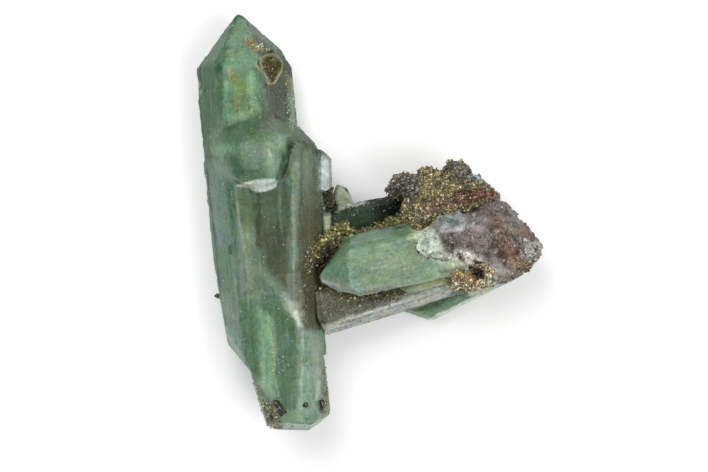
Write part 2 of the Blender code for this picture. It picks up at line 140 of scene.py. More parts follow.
def layered_noise(points: np.ndarray, cell: float, seed: int, layers: int = 3) -> np.ndarray:
    """Sum of soft noises, each half the size and half the height of the one before.

    Args:
        points: Places in millimetres.
        cell: Size of the largest swellings in millimetres.
        seed: Which noise is wanted.
        layers: How many noises are summed.

    Returns:
        One value a point, mostly between -1 and 1.
    """
    total = np.zeros(len(points))
    for layer in range(layers):
        total += soft_noise(points, cell / 2**layer, seed + layer) / 2**layer
    return total / 1.5


def crystal_cells(points: np.ndarray, cell: float, seed: int) -> tuple[np.ndarray, np.ndarray, np.ndarray]:
    """Find the shaken cell centre that lies nearest to each point.

    Args:
        points: Places in millimetres.
        cell: Spacing of the centres in millimetres.
        seed: Which set of centres is wanted.

    Returns:
        The way to the point from the nearest centre in cells, how much further the second one is, and the
        nearest centre's whole-number cell.
    """
    scaled = points / cell
    base = np.floor(scaled).astype(np.int64)
    nearest = np.full(len(points), np.inf)
    second = np.full(len(points), np.inf)
    owner = np.zeros_like(base)
    offset = np.zeros_like(scaled)
    for corner in itertools.product((-1, 0, 1), repeat=3):
        here = base + np.array(corner)
        shake = np.stack([cell_numbers(here, seed + axis) for axis in range(3)], axis=1)
        away = scaled - here - shake
        distance = np.linalg.norm(away, axis=1)
        closer = distance < nearest
        second = np.where(closer, nearest, np.minimum(second, distance))
        nearest = np.where(closer, distance, nearest)
        owner[closer] = here[closer]
        offset[closer] = away[closer]
    return offset, second - nearest, owner


def broken_blocks(points: np.ndarray, cell: float, seed: int, step: float, tilt: float) -> tuple[np.ndarray, np.ndarray]:
    """Break a surface into flat blocks that stand at their own heights and tilts.

    Args:
        points: Places in millimetres.
        cell: Size of a block in millimetres.
        seed: Which breakage is wanted.
        step: Millimetres between the lowest block and the highest.
        tilt: How steeply the blocks lean.

    Returns:
        The height of each point in millimetres, and how close it is to a crack, from 0 to 1.
    """
    offset, margin, owner = crystal_cells(points, cell, seed)
    lean = np.stack([cell_numbers(owner, seed + 20 + axis) for axis in range(3)], axis=1) - 0.5
    height = (cell_numbers(owner, seed + 30) - 0.5) * step + (lean * offset).sum(axis=1) * tilt * cell
    return height, ramp(margin, 0.14, 0.0)


def blended(under: np.ndarray, colour: Union[Colour, np.ndarray], share: np.ndarray) -> np.ndarray:
    """Lay a colour over others.

    Args:
        under: One colour a point.
        colour: The colour laid over them, or one a point.
        share: How much of it shows at each point.

    Returns:
        One colour a point.
    """
    return under + (np.asarray(colour) - under) * share[:, None]


def picture_places(points: np.ndarray) -> np.ndarray:
    """Turn places on the part into the photograph's pixels.

    Args:
        points: Places in millimetres.

    Returns:
        Pixels across and down.
    """
    across = MIDDLE_PIXEL[0] + (points[:, 0] - ORIGIN_SHIFT[0]) / MM_PER_PIXEL
    down = MIDDLE_PIXEL[1] - (points[:, 1] - ORIGIN_SHIFT[1]) / MM_PER_PIXEL
    return np.stack([across, down], axis=1)


def part_place(spot: Spot, height: float) -> np.ndarray:
    """Turn a pixel of the photograph into a place on the part.

    Args:
        spot: Pixels across and down.
        height: Height over the floor in millimetres.

    Returns:
        The place in millimetres.
    """
    across = (spot[0] - MIDDLE_PIXEL[0]) * MM_PER_PIXEL + ORIGIN_SHIFT[0]
    up = (MIDDLE_PIXEL[1] - spot[1]) * MM_PER_PIXEL + ORIGIN_SHIFT[1]
    return np.array([across, up, height])


@dataclass(frozen=True)
class Patch:
    """A soft-edged part of the surface that looks up, drawn in the photograph's pixels.

    Two corners make a stroke, and three or more a closed outline, or a bent stroke if it is open. It can be
    held to faces that look one way, and to a range of heights in millimetres.
    """

    corners: tuple[Spot, ...]
    reach: float = 0.0
    soft: float = 3.0
    facing: Optional[Way] = None
    heights: tuple[float, float] = (-1.0, 99.0)
    ragged: float = 0.35
    open: bool = False

    def _distance(self, seen: np.ndarray) -> np.ndarray:
        """Measure the pixels from each place to the stroke or outline, less than nothing inside an outline."""
        closed = len(self.corners) > 2 and not self.open
        ends = self.corners[1:] + (self.corners[:1] if closed else ())
        nearest = np.full(len(seen), np.inf)
        inside = np.zeros(len(seen), bool)
        for start, end in zip(self.corners, ends):
            along = np.subtract(end, start)
            share = np.clip((seen - start) @ along / max(float(along @ along), 1e-6), 0.0, 1.0)
            nearest = np.minimum(nearest, np.linalg.norm(seen - start - share[:, None] * along, axis=1))
            if closed and start[1] != end[1]:
                crossing = (start[1] > seen[:, 1]) != (end[1] > seen[:, 1])
                inside ^= crossing & (seen[:, 0] < start[0] + (seen[:, 1] - start[1]) * along[0] / along[1])
        return np.where(inside, -nearest, nearest)

    def share(self, points: np.ndarray, ways: np.ndarray) -> np.ndarray:
        """Say how much of the patch lies at each point.

        Args:
            points: Places in millimetres.
            ways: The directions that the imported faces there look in.

        Returns:
            From 0 outside to 1 inside.
        """
        distance = self._distance(picture_places(points))
        distance += soft_noise(points, 1.1, 71) * self.ragged * self.soft
        distance += soft_noise(points, 0.45, 72) * self.ragged * self.soft * 0.6
        inside = ramp(distance, self.reach + self.soft / 2, self.reach - self.soft / 2)
        inside *= ramp(points[:, 2], self.heights[0] - 0.3, self.heights[0] + 0.3)
        inside *= ramp(points[:, 2], self.heights[1] + 0.3, self.heights[1] - 0.3)
        inside *= ramp(ways[:, 2], -0.25, 0.0)
        if self.facing is not None:
            way = np.array(self.facing) / np.linalg.norm(self.facing)
            inside *= ramp(ways @ way, 0.8, 0.93)
        return inside


@dataclass(frozen=True)
class StainAndShade:
    """A colour laid over a patch, and how frosted the quartz is there. Most are the quartz's own colour; those noted as
    such are painted shade.
    """

    patch: Patch
    colour: Colour
    strength: float = 1.0
    frost: float = 0.0


# Meshes


class PackedForm:
    """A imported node's flat faces and sharp edges, in millimetres."""

    SHARP = math.radians(11.0)
    EDGE_STEP = 0.1

    def __init__(self, node: str, cuts: Sequence[tuple[Way, Way]] = ()) -> None:
        """Copy the node's mesh and join its split corners.

        Args:
            node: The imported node's name.
            cuts: Planes, each a place and the way to the side that is cut off.
        """
        self.node = node
        self.bm = bmesh.new()
        self.bm.from_mesh(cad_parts[node].data)
        self.bm.transform(Matrix.Scale(MM_PER_METRE, 4))
        bmesh.ops.remove_doubles(self.bm, verts=self.bm.verts[:], dist=1e-3)
        for place, way in cuts:
            everything = self.bm.verts[:] + self.bm.edges[:] + self.bm.faces[:]
            cut = bmesh.ops.bisect_plane(self.bm, geom=everything, plane_co=place, plane_no=way, clear_outer=True)
            rim = [piece for piece in cut["geom_cut"] if isinstance(piece, bmesh.types.BMEdge)]
            bmesh.ops.edgenet_fill(self.bm, edges=rim)
        bmesh.ops.recalc_face_normals(self.bm, faces=self.bm.faces[:])
        self.tree = BVHTree.FromBMesh(self.bm)
        self.edges = self._edge_tree()

    def _edge_tree(self) -> kdtree.KDTree:
        """Place points along every sharp ridge, for measuring the distance to it."""
        places = []
        for edge in self.bm.edges:
            if len(edge.link_faces) != 2 or edge.calc_face_angle_signed(0.0) < self.SHARP:
                continue
            start, end = (vert.co for vert in edge.verts)
            steps = max(1, round((end - start).length / self.EDGE_STEP))
            places += [start.lerp(end, step / steps) for step in range(steps + 1)]
        tree = kdtree.KDTree(max(len(places), 1))
        for number, place in enumerate(places or [Vector((1e3, 1e3, 1e3))]):
            tree.insert(place, number)
        tree.balance()
        return tree

    def nearest(self, points: np.ndarray) -> tuple[np.ndarray, np.ndarray]:
        """Find the closest place on the flat faces.

        Args:
            points: Places in millimetres.

        Returns:
            The closest places, and the directions that the faces there look in.
        """
        found = [self.tree.find_nearest(point)[:2] for point in points.tolist()]
        return np.array([place for place, _ in found]), np.array([way for _, way in found])

    def ridge_distance(self, points: np.ndarray) -> np.ndarray:
        """Measure how far each point is from a sharp ridge, in millimetres."""
        return np.array([self.edges.find(point)[2] for point in points.tolist()])

    def gap(self, points: np.ndarray, furthest: float) -> np.ndarray:
        """Measure how far each point is from this form, up to a furthest distance.

        Args:
            points: Places in millimetres.
            furthest: Distance at which the search stops.

        Returns:
            One distance a point.
        """
        found = [self.tree.find_nearest(point, furthest)[3] for point in points.tolist()]
        return np.array([furthest if distance is None else distance for distance in found])


class Skin:
    """A dense mesh in millimetres that can be relaxed, pushed out and given values."""

    def __init__(self, form: PackedForm, voxel: float) -> None:
        """Cover a packed form with small even faces.

        Args:
            form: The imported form.
            voxel: Size of one face in millimetres.
        """
        self.form = form
        source = bpy.data.meshes.new("source")
        form.bm.to_mesh(source)
        holder = bpy.data.objects.new("source", source)
        bpy.context.scene.collection.objects.link(holder)
        remesh = holder.modifiers.new("even faces", "REMESH")
        remesh.mode = "VOXEL"
        remesh.voxel_size = voxel
        graph = bpy.context.evaluated_depsgraph_get()
        self.mesh = bpy.data.meshes.new_from_object(holder.evaluated_get(graph))
        bpy.data.objects.remove(holder)
        bpy.data.meshes.remove(source)
        self.points = np.zeros(len(self.mesh.vertices) * 3)
        self.mesh.vertices.foreach_get("co", self.points)
        self.points = self.points.reshape(-1, 3)
        ends = np.zeros(len(self.mesh.edges) * 2, np.int32)
        self.mesh.edges.foreach_get("vertices", ends)
        self.ends = ends.reshape(-1, 2)
        self.values: dict[str, np.ndarray] = {}

    def normals(self) -> np.ndarray:
        """Work out the direction that each point looks in."""
        self.mesh.vertices.foreach_set("co", self.points.reshape(-1))
        self.mesh.update()
        found = np.zeros(len(self.mesh.vertices) * 3)
        self.mesh.vertex_normals.foreach_get("vector", found)
        return found.reshape(-1, 3)

    def relax(self, rounds: int, share: Union[float, np.ndarray] = 0.5) -> None:
        """Draw each point towards the middle of its neighbours.

        Args:
            rounds: How often.
            share: How far each time, from 0 to 1, or one a point.
        """
        share = np.broadcast_to(share, len(self.points))[:, None]
        count = len(self.points)
        near = np.bincount(self.ends.reshape(-1), minlength=count)
        for _ in range(rounds):
            middle = np.zeros_like(self.points)
            for axis in range(3):
                column = self.points[:, axis]
                middle[:, axis] += np.bincount(self.ends[:, 0], column[self.ends[:, 1]], count)
                middle[:, axis] += np.bincount(self.ends[:, 1], column[self.ends[:, 0]], count)
            self.points += (middle / near[:, None] - self.points) * share

    def push(self, heights: np.ndarray) -> None:
        """Move each point along its own direction.

        Args:
            heights: Millimetres outwards, one a point.
        """
        self.points += self.normals() * heights[:, None]

    def meet(self, neighbours: Sequence[PackedForm], reach: float = 0.55, growth: float = 0.36) -> None:
        """Grow the skin into whatever it almost touches, so that no seam is open.

        Args:
            neighbours: The forms that it was grown together with.
            reach: Gap in millimetres at which the growth starts.
            growth: Millimetres that it grows by.
        """
        gap = np.full(len(self.points), reach)
        for neighbour in neighbours:
            gap = np.minimum(gap, neighbour.gap(self.points, reach))
        self.push(ramp(gap, reach, reach - 0.15) * growth)

    def keep_above_floor(self) -> None:
        """Hold every point on or over the floor."""
        self.points[:, 2] = np.maximum(self.points[:, 2], 0.0)

    def finished_mesh(self, name: str, smooth: bool = True) -> bpy.types.Mesh:
        """Write the points back in metres, with the values as the mesh's own attributes.

        Args:
            name: The mesh's name.
            smooth: Whether the small faces blend, or each catches the light by itself.

        Returns:
            The mesh, ready for an object.
        """
        self.keep_above_floor()
        mesh = self.mesh.copy()
        mesh.vertices.foreach_set("co", (self.points / MM_PER_METRE).reshape(-1))
        write_values(mesh, self.values)
        if smooth:
            mesh.shade_smooth()
        else:
            mesh.shade_flat()
        mesh.update()
        mesh.name = name
        return mesh


def write_values(mesh: bpy.types.Mesh, values: dict[str, np.ndarray]) -> None:
    """Store numbers and colours on a mesh's points, where a finish can read them.

    Args:
        mesh: The mesh.
        values: One number or one colour a point, by the name of the value.
    """
    for name, value in values.items():
        if value.ndim == 1:
            layer = mesh.attributes.new(name, "FLOAT", "POINT")
            layer.data.foreach_set("value", value.astype(np.float32))
        else:
            layer = mesh.attributes.new(name, "FLOAT_COLOR", "POINT")
            whole = np.concatenate([np.clip(value, 0.0, 1.0), np.ones((len(value), 1))], axis=1)
            layer.data.foreach_set("color", whole.astype(np.float32).reshape(-1))


# Small crystals grown in crowds


class Habit(Enum):
    """The shape that a small crystal grows in."""

    GARNET = "garnet"
    NEEDLE = "needle"
    SHARD = "shard"


def hexagon_ring(radius: float, height: float) -> list[Way]:
    """Six corners of a level hexagon."""
    turns = [math.tau * corner / 6 for corner in range(6)]
    return [(radius * math.cos(turn), radius * math.sin(turn), height) for turn in turns]


def habit_mesh(habit: Habit) -> tuple[np.ndarray, np.ndarray]:
    """Draw one crystal of a habit, about one millimetre across, as triangles.

    Args:
        habit: The habit.

    Returns:
        Its corners, and three corner numbers a triangle.
    """
    bm = bmesh.new()
    if habit is Habit.GARNET:
        places = [tuple(0.5 * s for s in signs) for signs in itertools.product((-1, 1), repeat=3)]
        places += [(1.0, 0.0, 0.0), (-1.0, 0.0, 0.0), (0.0, 1.0, 0.0)]
        places += [(0.0, -1.0, 0.0), (0.0, 0.0, 1.0), (0.0, 0.0, -1.0)]
    elif habit is Habit.NEEDLE:
        places = hexagon_ring(0.5, -1.0) + hexagon_ring(0.5, 0.75) + [(0.08, 0.05, 1.25)]
    else:
        places = [(0.9, 0.1, 0.2), (-0.6, 0.75, 0.1), (-0.5, -0.8, 0.3), (0.3, 0.2, 0.9), (0.1, -0.1, -0.8)]
        places += [(0.5, -0.6, -0.3), (-0.2, 0.8, -0.4)]
    corners = [bm.verts.new(place) for place in places]
    hull = bmesh.ops.convex_hull(bm, input=corners)
    bmesh.ops.triangulate(bm, faces=bm.faces[:])
    bmesh.ops.recalc_face_normals(bm, faces=bm.faces[:])
    del hull
    bm.verts.index_update()
    points = np.array([vert.co[:] for vert in bm.verts])
    faces = np.array([[vert.index for vert in face.verts] for face in bm.faces])
    bm.free()
    return points, faces


def turns_towards(ways: np.ndarray, spins: np.ndarray) -> np.ndarray:
    """Build the turns that stand a crystal's length along each way, spun round it.

    Args:
        ways: Unit vectors.
        spins: Angles in radians.

    Returns:
        One 3 by 3 turn a way.
    """
    helper = np.where(np.abs(ways[:, 2:3]) < 0.9, [[0.0, 0.0, 1.0]], [[1.0, 0.0, 0.0]])
    across = np.cross(helper, ways)
    across /= np.linalg.norm(across, axis=1, keepdims=True)
    third = np.cross(ways, across)
    cosine, sine = np.cos(spins)[:, None], np.sin(spins)[:, None]
    first = across * cosine + third * sine
    second = third * cosine - across * sine
    return np.stack([first, second, ways], axis=2)


@dataclass(frozen=True)
class Crowd:
    """How a crowd of small crystals grows: how close, how large, how upright and in what colours."""

    habit: Habit
    spacing: float
    width: float
    length: float
    wildness: float = 0.8
    sunk: float = 0.15
    spread: float = 0.3
    colours: tuple[Colour, ...] = ()
    strays: float = 0.25
    shine: float = 0.2


class Grains:
    """Small crystals joined in one mesh, in millimetres."""

    def __init__(self, seed: int) -> None:
        """Start with none.

        Args:
            seed: Which of many random growths is wanted.
        """
        self.chance = np.random.default_rng(seed)
        self.points: list[np.ndarray] = []
        self.faces: list[np.ndarray] = []
        self.tints: list[np.ndarray] = []
        self.count = 0

    def grow(
        self,
        crowd: Crowd,
        places: np.ndarray,
        ways: np.ndarray,
        share: np.ndarray,
        tints: Optional[np.ndarray] = None,
    ) -> int:
        """Grow a crowd on a skin's points, one crystal to a cell.

        Args:
            crowd: How the crystals look.
            places: The skin's points in millimetres.
            ways: The directions that they look in.
            share: How likely a crystal is at each point, from 0 to 1.
            tints: The colours that the crystals take from where they stand, if not the crowd's own.

        Returns:
            How many crystals grew.
        """
        order = self.chance.permutation(len(places))
        cells = np.floor(places[order] / crowd.spacing).astype(np.int64)
        _, first = np.unique(cells, axis=0, return_index=True)
        chosen = order[np.sort(first)]
        chosen = chosen[self.chance.random(len(chosen)) < share[chosen]]
        number = len(chosen)
        if number == 0:
            return 0
        sizes = crowd.width * np.exp(self.chance.normal(0.0, crowd.spread, number))
        reach = crowd.length / crowd.width * np.exp(self.chance.normal(0.0, 0.2, number))
        wild = self.chance.normal(size=(number, 3))
        wild /= np.linalg.norm(wild, axis=1, keepdims=True)
        heading = ways[chosen] + wild * crowd.wildness
        heading /= np.linalg.norm(heading, axis=1, keepdims=True)
        turns = turns_towards(heading, self.chance.random(number) * math.tau)
        corners, faces = habit_mesh(crowd.habit)
        scaled = corners[None] * np.stack([sizes, sizes, sizes * reach], axis=1)[:, None]
        placed = np.einsum("nij,nkj->nki", turns, scaled)
        placed += (places[chosen] - ways[chosen] * (sizes * crowd.sunk)[:, None])[:, None]
        self.points.append(placed.reshape(-1, 3))
        offsets = self.count + np.arange(number) * len(corners)
        self.faces.append((faces[None] + offsets[:, None, None]).reshape(-1, 3))
        self.count += number * len(corners)
        self.tints.append(np.repeat(self._colours(crowd, chosen, tints), len(corners), axis=0))
        return number

    def _colours(self, crowd: Crowd, chosen: np.ndarray, tints: Optional[np.ndarray]) -> np.ndarray:
        """Pick a colour for each crystal: its place's own, or at times one of the crowd's."""
        number = len(chosen)
        picks = np.array(crowd.colours)[self.chance.integers(len(crowd.colours), size=number)]
        if tints is not None:
            stray = self.chance.random(number) < crowd.strays
            picks = np.where(stray[:, None], picks, tints[chosen])
        bright = np.exp(self.chance.normal(0.0, crowd.shine, number))
        return np.clip(picks * bright[:, None], 0.0, 1.0)

    def finished_mesh(self, name: str) -> bpy.types.Mesh:
        """Join the crystals in one mesh, in metres.

        Args:
            name: The mesh's name.

        Returns:
            The mesh, ready for an object.
        """
        points = np.concatenate(self.points)
        points[:, 2] = np.maximum(points[:, 2], 0.0)
        faces = np.concatenate(self.faces)
        mesh = bpy.data.meshes.new(name)
        mesh.vertices.add(len(points))
        mesh.vertices.foreach_set("co", (points / MM_PER_METRE).reshape(-1))
        mesh.loops.add(faces.size)
        mesh.loops.foreach_set("vertex_index", faces.reshape(-1).astype(np.int32))
        mesh.polygons.add(len(faces))
        mesh.polygons.foreach_set("loop_start", np.arange(0, faces.size, 3, dtype=np.int32))
        write_values(mesh, {"tint": np.concatenate(self.tints)})
        mesh.update(calc_edges=True)
        mesh.validate()
        return mesh


# Finishes


class Wire:
    """What runs from one socket to others. Sums on it add Math nodes."""

    def __init__(self, board: "Board", socket: bpy.types.NodeSocket) -> None:
        """Wrap a socket.

        Args:
            board: The material that the socket is in.
            socket: The output socket.
        """
        self.board = board
        self.socket = socket

    def maths(self, operation: str, *values: Any) -> "Wire":
        """Add a Math node.

        Args:
            operation: Blender's name of the operation.
            values: Its sockets' values or wires, in order.

        Returns:
            The result.
        """
        return self.board.node("ShaderNodeMath", {"operation": operation}, dict(enumerate(values)))

    def __add__(self, other: Any) -> "Wire":
        """Add a number or a wire."""
        return self.maths("ADD", self, other)

    def __radd__(self, other: Any) -> "Wire":
        """Add to a number."""
        return self.maths("ADD", other, self)

    def __sub__(self, other: Any) -> "Wire":
        """Take a number or a wire away."""
        return self.maths("SUBTRACT", self, other)

    def __rsub__(self, other: Any) -> "Wire":
        """Take it away from a number."""
        return self.maths("SUBTRACT", other, self)

    def __mul__(self, other: Any) -> "Wire":
        """Multiply by a number or a wire."""
        return self.maths("MULTIPLY", self, other)

    def __rmul__(self, other: Any) -> "Wire":
        """Multiply a number."""
        return self.maths("MULTIPLY", other, self)

    def rise(self, low: float, high: float) -> "Wire":
        """Rise smoothly from 0 at low to 1 at high.

        Args:
            low: Where the result is 0.
            high: Where the result is 1. It may be the smaller.

        Returns:
            The result.
        """
        settings = {"interpolation_type": "SMOOTHSTEP"}
        return self.board.node("ShaderNodeMapRange", settings, {"Value": self, "From Min": low, "From Max": high})


class Board:
    """The nodes of one material."""

    def __init__(self, name: str) -> None:
        """Start a material with only its output node.

        Args:
            name: The material's name.
        """
        self.material = bpy.data.materials.new(name)
        self.material.use_nodes = True
        self.tree = self.material.node_tree
        self.tree.nodes.clear()
        self.output = self.tree.nodes.new("ShaderNodeOutputMaterial")

    def node(
        self,
        kind: str,
        settings: Optional[dict[str, Any]] = None,
        sockets: Optional[dict[Union[int, str], Any]] = None,
        result: Union[int, str] = 0,
    ) -> Wire:
        """Add a node.

        Args:
            kind: Blender's name of its type.
            settings: Its properties, set before its sockets.
            sockets: Values or wires, by a socket's name or number.
            result: The output that is wanted.

        Returns:
            That output.
        """
        made = self.tree.nodes.new(kind)
        for name, value in (settings or {}).items():
            setattr(made, name, value)
        for name, value in (sockets or {}).items():
            if isinstance(value, Wire):
                self.tree.links.new(value.socket, made.inputs[name])
            else:
                made.inputs[name].default_value = value
        return Wire(self, made.outputs[result])

    def millimetres(self) -> Wire:
        """Give the place on the object in millimetres."""
        place = self.node("ShaderNodeTexCoord", result="Object")
        return self.node("ShaderNodeVectorMath", {"operation": "SCALE"}, {0: place, "Scale": MM_PER_METRE})

    def stretched(self, place: Wire, heading: float, along: float, across: float) -> Wire:
        """Turn a crystal's length to X, and stretch the place along and across it.

        Args:
            place: The place in millimetres.
            heading: Direction of the crystal's length in degrees.
            along: Scale along the length.
            across: Scale across it.

        Returns:
            The stretched place.
        """
        turned = self.node(
            "ShaderNodeVectorRotate",
            {"rotation_type": "Z_AXIS"},
            {"Vector": place, "Angle": math.radians(-heading)},
        )
        return self.node(
            "ShaderNodeVectorMath", {"operation": "MULTIPLY"}, {0: turned, 1: (along, across, across)}
        )

    def noise(self, place: Wire, scale: float, detail: float = 4.0, rough: float = 0.55) -> Wire:
        """Add soft noise.

        Args:
            place: Where it is read.
            scale: Swellings a millimetre.
            detail: How many finer layers it has.
            rough: How strong the finer layers are.

        Returns:
            A value from 0 to 1.
        """
        sockets = {"Vector": place, "Scale": scale, "Detail": detail, "Roughness": rough}
        return self.node("ShaderNodeTexNoise", sockets=sockets, result="Fac")

    def flecks(self, place: Wire, scale: float, size: float, kept: float) -> Wire:
        """Scatter small spots, of which only some are kept.

        Args:
            place: Where they are read.
            scale: Spots a millimetre.
            size: Size of a spot, in its own cell.
            kept: Share of the spots that are left out.

        Returns:
            1 in a spot and 0 outside.
        """
        cells = self.node("ShaderNodeTexVoronoi", sockets={"Vector": place, "Scale": scale}, result="Distance")
        near = cells.rise(size, size * 0.4)
        chance = self.node(
            "ShaderNodeTexVoronoi", sockets={"Vector": place, "Scale": scale}, result="Color"
        )
        pick = self.node("ShaderNodeSeparateColor", sockets={0: chance}, result=0)
        return near * pick.rise(kept, kept + 0.02)

    def mix(self, share: Any, under: Any, over: Any, blend: str = "MIX") -> Wire:
        """Lay one colour over another.

        Args:
            share: How much of the upper one shows.
            under: The lower colour.
            over: The upper colour.
            blend: How they mix.

        Returns:
            The mixed colour.
        """
        settings = {"data_type": "RGBA", "blend_type": blend, "clamp_factor": True}
        under = (*under, 1.0) if isinstance(under, tuple) else under
        over = (*over, 1.0) if isinstance(over, tuple) else over
        return self.node("ShaderNodeMix", settings, {0: share, 6: under, 7: over}, result=2)

    def scaled(self, colour: Wire, factor: Any) -> Wire:
        """Brighten or darken a colour.

        Args:
            colour: The colour.
            factor: What it is multiplied by.

        Returns:
            The new colour.
        """
        return self.node("ShaderNodeVectorMath", {"operation": "SCALE"}, {0: colour, "Scale": factor})

    def bump(self, height: Wire, depth: float) -> Wire:
        """Turn a height into small relief.

        Args:
            height: From 0 to 1.
            depth: Millimetres between 0 and 1.

        Returns:
            The direction that the surface looks in.
        """
        return self.node(
            "ShaderNodeBump", sockets={"Height": height, "Strength": 1.0, "Distance": depth / MM_PER_METRE}
        )

    def surface(self, sockets: dict[Union[int, str], Any]) -> bpy.types.Material:
        """Close the material with a Principled shader.

        Args:
            sockets: Values or wires of the shader's sockets.

        Returns:
            The material.
        """
        shader = self.node("ShaderNodeBsdfPrincipled", sockets=sockets)
        self.tree.links.new(shader.socket, self.output.inputs["Surface"])
        return self.material


@dataclass(frozen=True)
class CloudyQuartz:
    """Quartz made cloudy green by countless fine needles inside it, with frosted and chipped places and small pale
    flecks painted on as glints.
    """

    name: str
    heading: float
    cloud: float = 0.6
    mottle: float = 0.75
    hues: float = 0.35
    veils: float = 0.2
    # flecks scales both the painted glint flecks and the dark soot specks of the quartz's own.
    flecks: float = 0.7
    roughness: float = 0.33
    shine: float = 0.16
    depth: float = 0.8
    milk: Colour = (0.5, 0.58, 0.51)

    def material(self) -> bpy.types.Material:
        """Build the material."""
        board = Board(self.name)
        place = board.millimetres()
        tint = board.node("ShaderNodeAttribute", {"attribute_name": "tint"}, result="Color")
        frost = board.node("ShaderNodeAttribute", {"attribute_name": "frost"}, result="Fac")
        ridge = board.node("ShaderNodeAttribute", {"attribute_name": "ridge"}, result="Fac")
        cloud = board.noise(place, 0.4, 2.0, 0.5)
        mottle = board.noise(place, 1.9, 3.0, 0.6)
        grain = board.noise(place, 6.0, 3.0, 0.6)
        fine = board.noise(place, 12.0, 2.0, 0.6)
        lines = board.noise(board.stretched(place, self.heading, 5.5, 0.25), 1.0, 3.0, 0.6)
        strands = board.noise(board.stretched(place, self.heading, 0.3, 3.2), 1.0, 3.0, 0.6)
        veil = board.noise(board.stretched(place, self.heading, 0.16, 1.5), 1.0, 4.0, 0.6)
        hue = board.noise(place, 0.45, 2.0, 0.5)
        warm = board.mix(self.hues, tint, (1.2, 1.02, 0.66), "MULTIPLY")
        cool = board.mix(self.hues, tint, (0.82, 0.98, 1.25), "MULTIPLY")
        colour = board.mix(hue.rise(0.3, 0.7), warm, cool)
        uneven = (cloud * self.cloud + mottle * self.mottle) * 1.35 + grain * 1.1 + fine * 0.9 + strands * 0.8
        colour = board.scaled(colour, uneven + (-0.37 - (self.cloud + self.mottle) * 0.675))
        colour = board.mix(veil.rise(0.54, 0.8) * self.veils, colour, self.milk)
        nicks = board.noise(place, 2.2, 3.0, 0.6)
        colour = board.mix(ridge * nicks.rise(0.5, 0.7) * 0.25, colour, self.milk)
        sugar = board.noise(place, 6.5, 3.0, 0.7)
        colour = board.mix(frost * sugar.rise(0.5, 0.66) * 0.55, colour, self.milk)
        colour = board.mix(frost * sugar.rise(0.47, 0.3) * 0.6, colour, board.scaled(tint, 0.35))
        # Painted highlights: pale flecks stand in for glints off tiny chips; the soot specks further down are the
        # quartz's own dark colour.
        painted_glint_specks = board.flecks(place, 1.6, 0.16, 0.72) * self.flecks
        colour = board.mix(painted_glint_specks, colour, (0.75, 0.8, 0.74))
        glitter = board.flecks(place, 3.6, 0.2, 0.82) * self.flecks
        colour = board.mix(glitter, colour, (0.55, 0.62, 0.54))
        soot = board.flecks(place, 0.9, 0.08, 0.92) * self.flecks
        colour = board.mix(soot, colour, (0.05, 0.05, 0.02))
        rough = frost * 0.2 + mottle * 0.16 + (self.roughness - 0.08)
        height = grain * 0.4 + mottle * 0.5 + lines * 0.5 + frost * sugar * 2.2 + painted_glint_specks * 0.8 + glitter * 0.4
        return board.surface(
            {
                "Base Color": colour,
                "Roughness": rough,
                "Normal": board.bump(height, 0.03),
                "IOR": 1.54,
                "Specular IOR Level": self.shine,
                "Coat Weight": self.shine * 1.5,
                "Coat Roughness": 0.1,
                "Subsurface Weight": 0.75,
                "Subsurface Radius": (0.85, 1.0, 0.85),
                "Subsurface Scale": self.depth / MM_PER_METRE,
            }
        )


@dataclass(frozen=True)
class ClearQuartz:
    """Glass-clear quartz with a faint colour and a few wisps, seen right through."""

    name: str
    colour: Colour = (0.86, 0.95, 0.92)
    roughness: float = 0.12

    def material(self) -> bpy.types.Material:
        """Build the material."""
        board = Board(self.name)
        place = board.millimetres()
        wisps = board.noise(place, 1.3, 4.0, 0.65)
        colour = board.mix(wisps.rise(0.45, 0.75) * 0.6, self.colour, (0.6, 0.72, 0.7))
        # Painted shade: greyer and darker green towards the flange's top (+Y), under the shoulder.
        height = board.node("ShaderNodeSeparateXYZ", sockets={0: place}, result=1)
        colour = board.mix((height + wisps * 1.2).rise(7.6, 9.8), colour, (0.3, 0.4, 0.34))
        return board.surface(
            {
                "Base Color": colour,
                "Roughness": wisps.rise(0.4, 0.8) * 0.35 + self.roughness,
                "Normal": board.bump(wisps, 0.04),
                "IOR": 1.54,
                "Transmission Weight": 0.85,
            }
        )


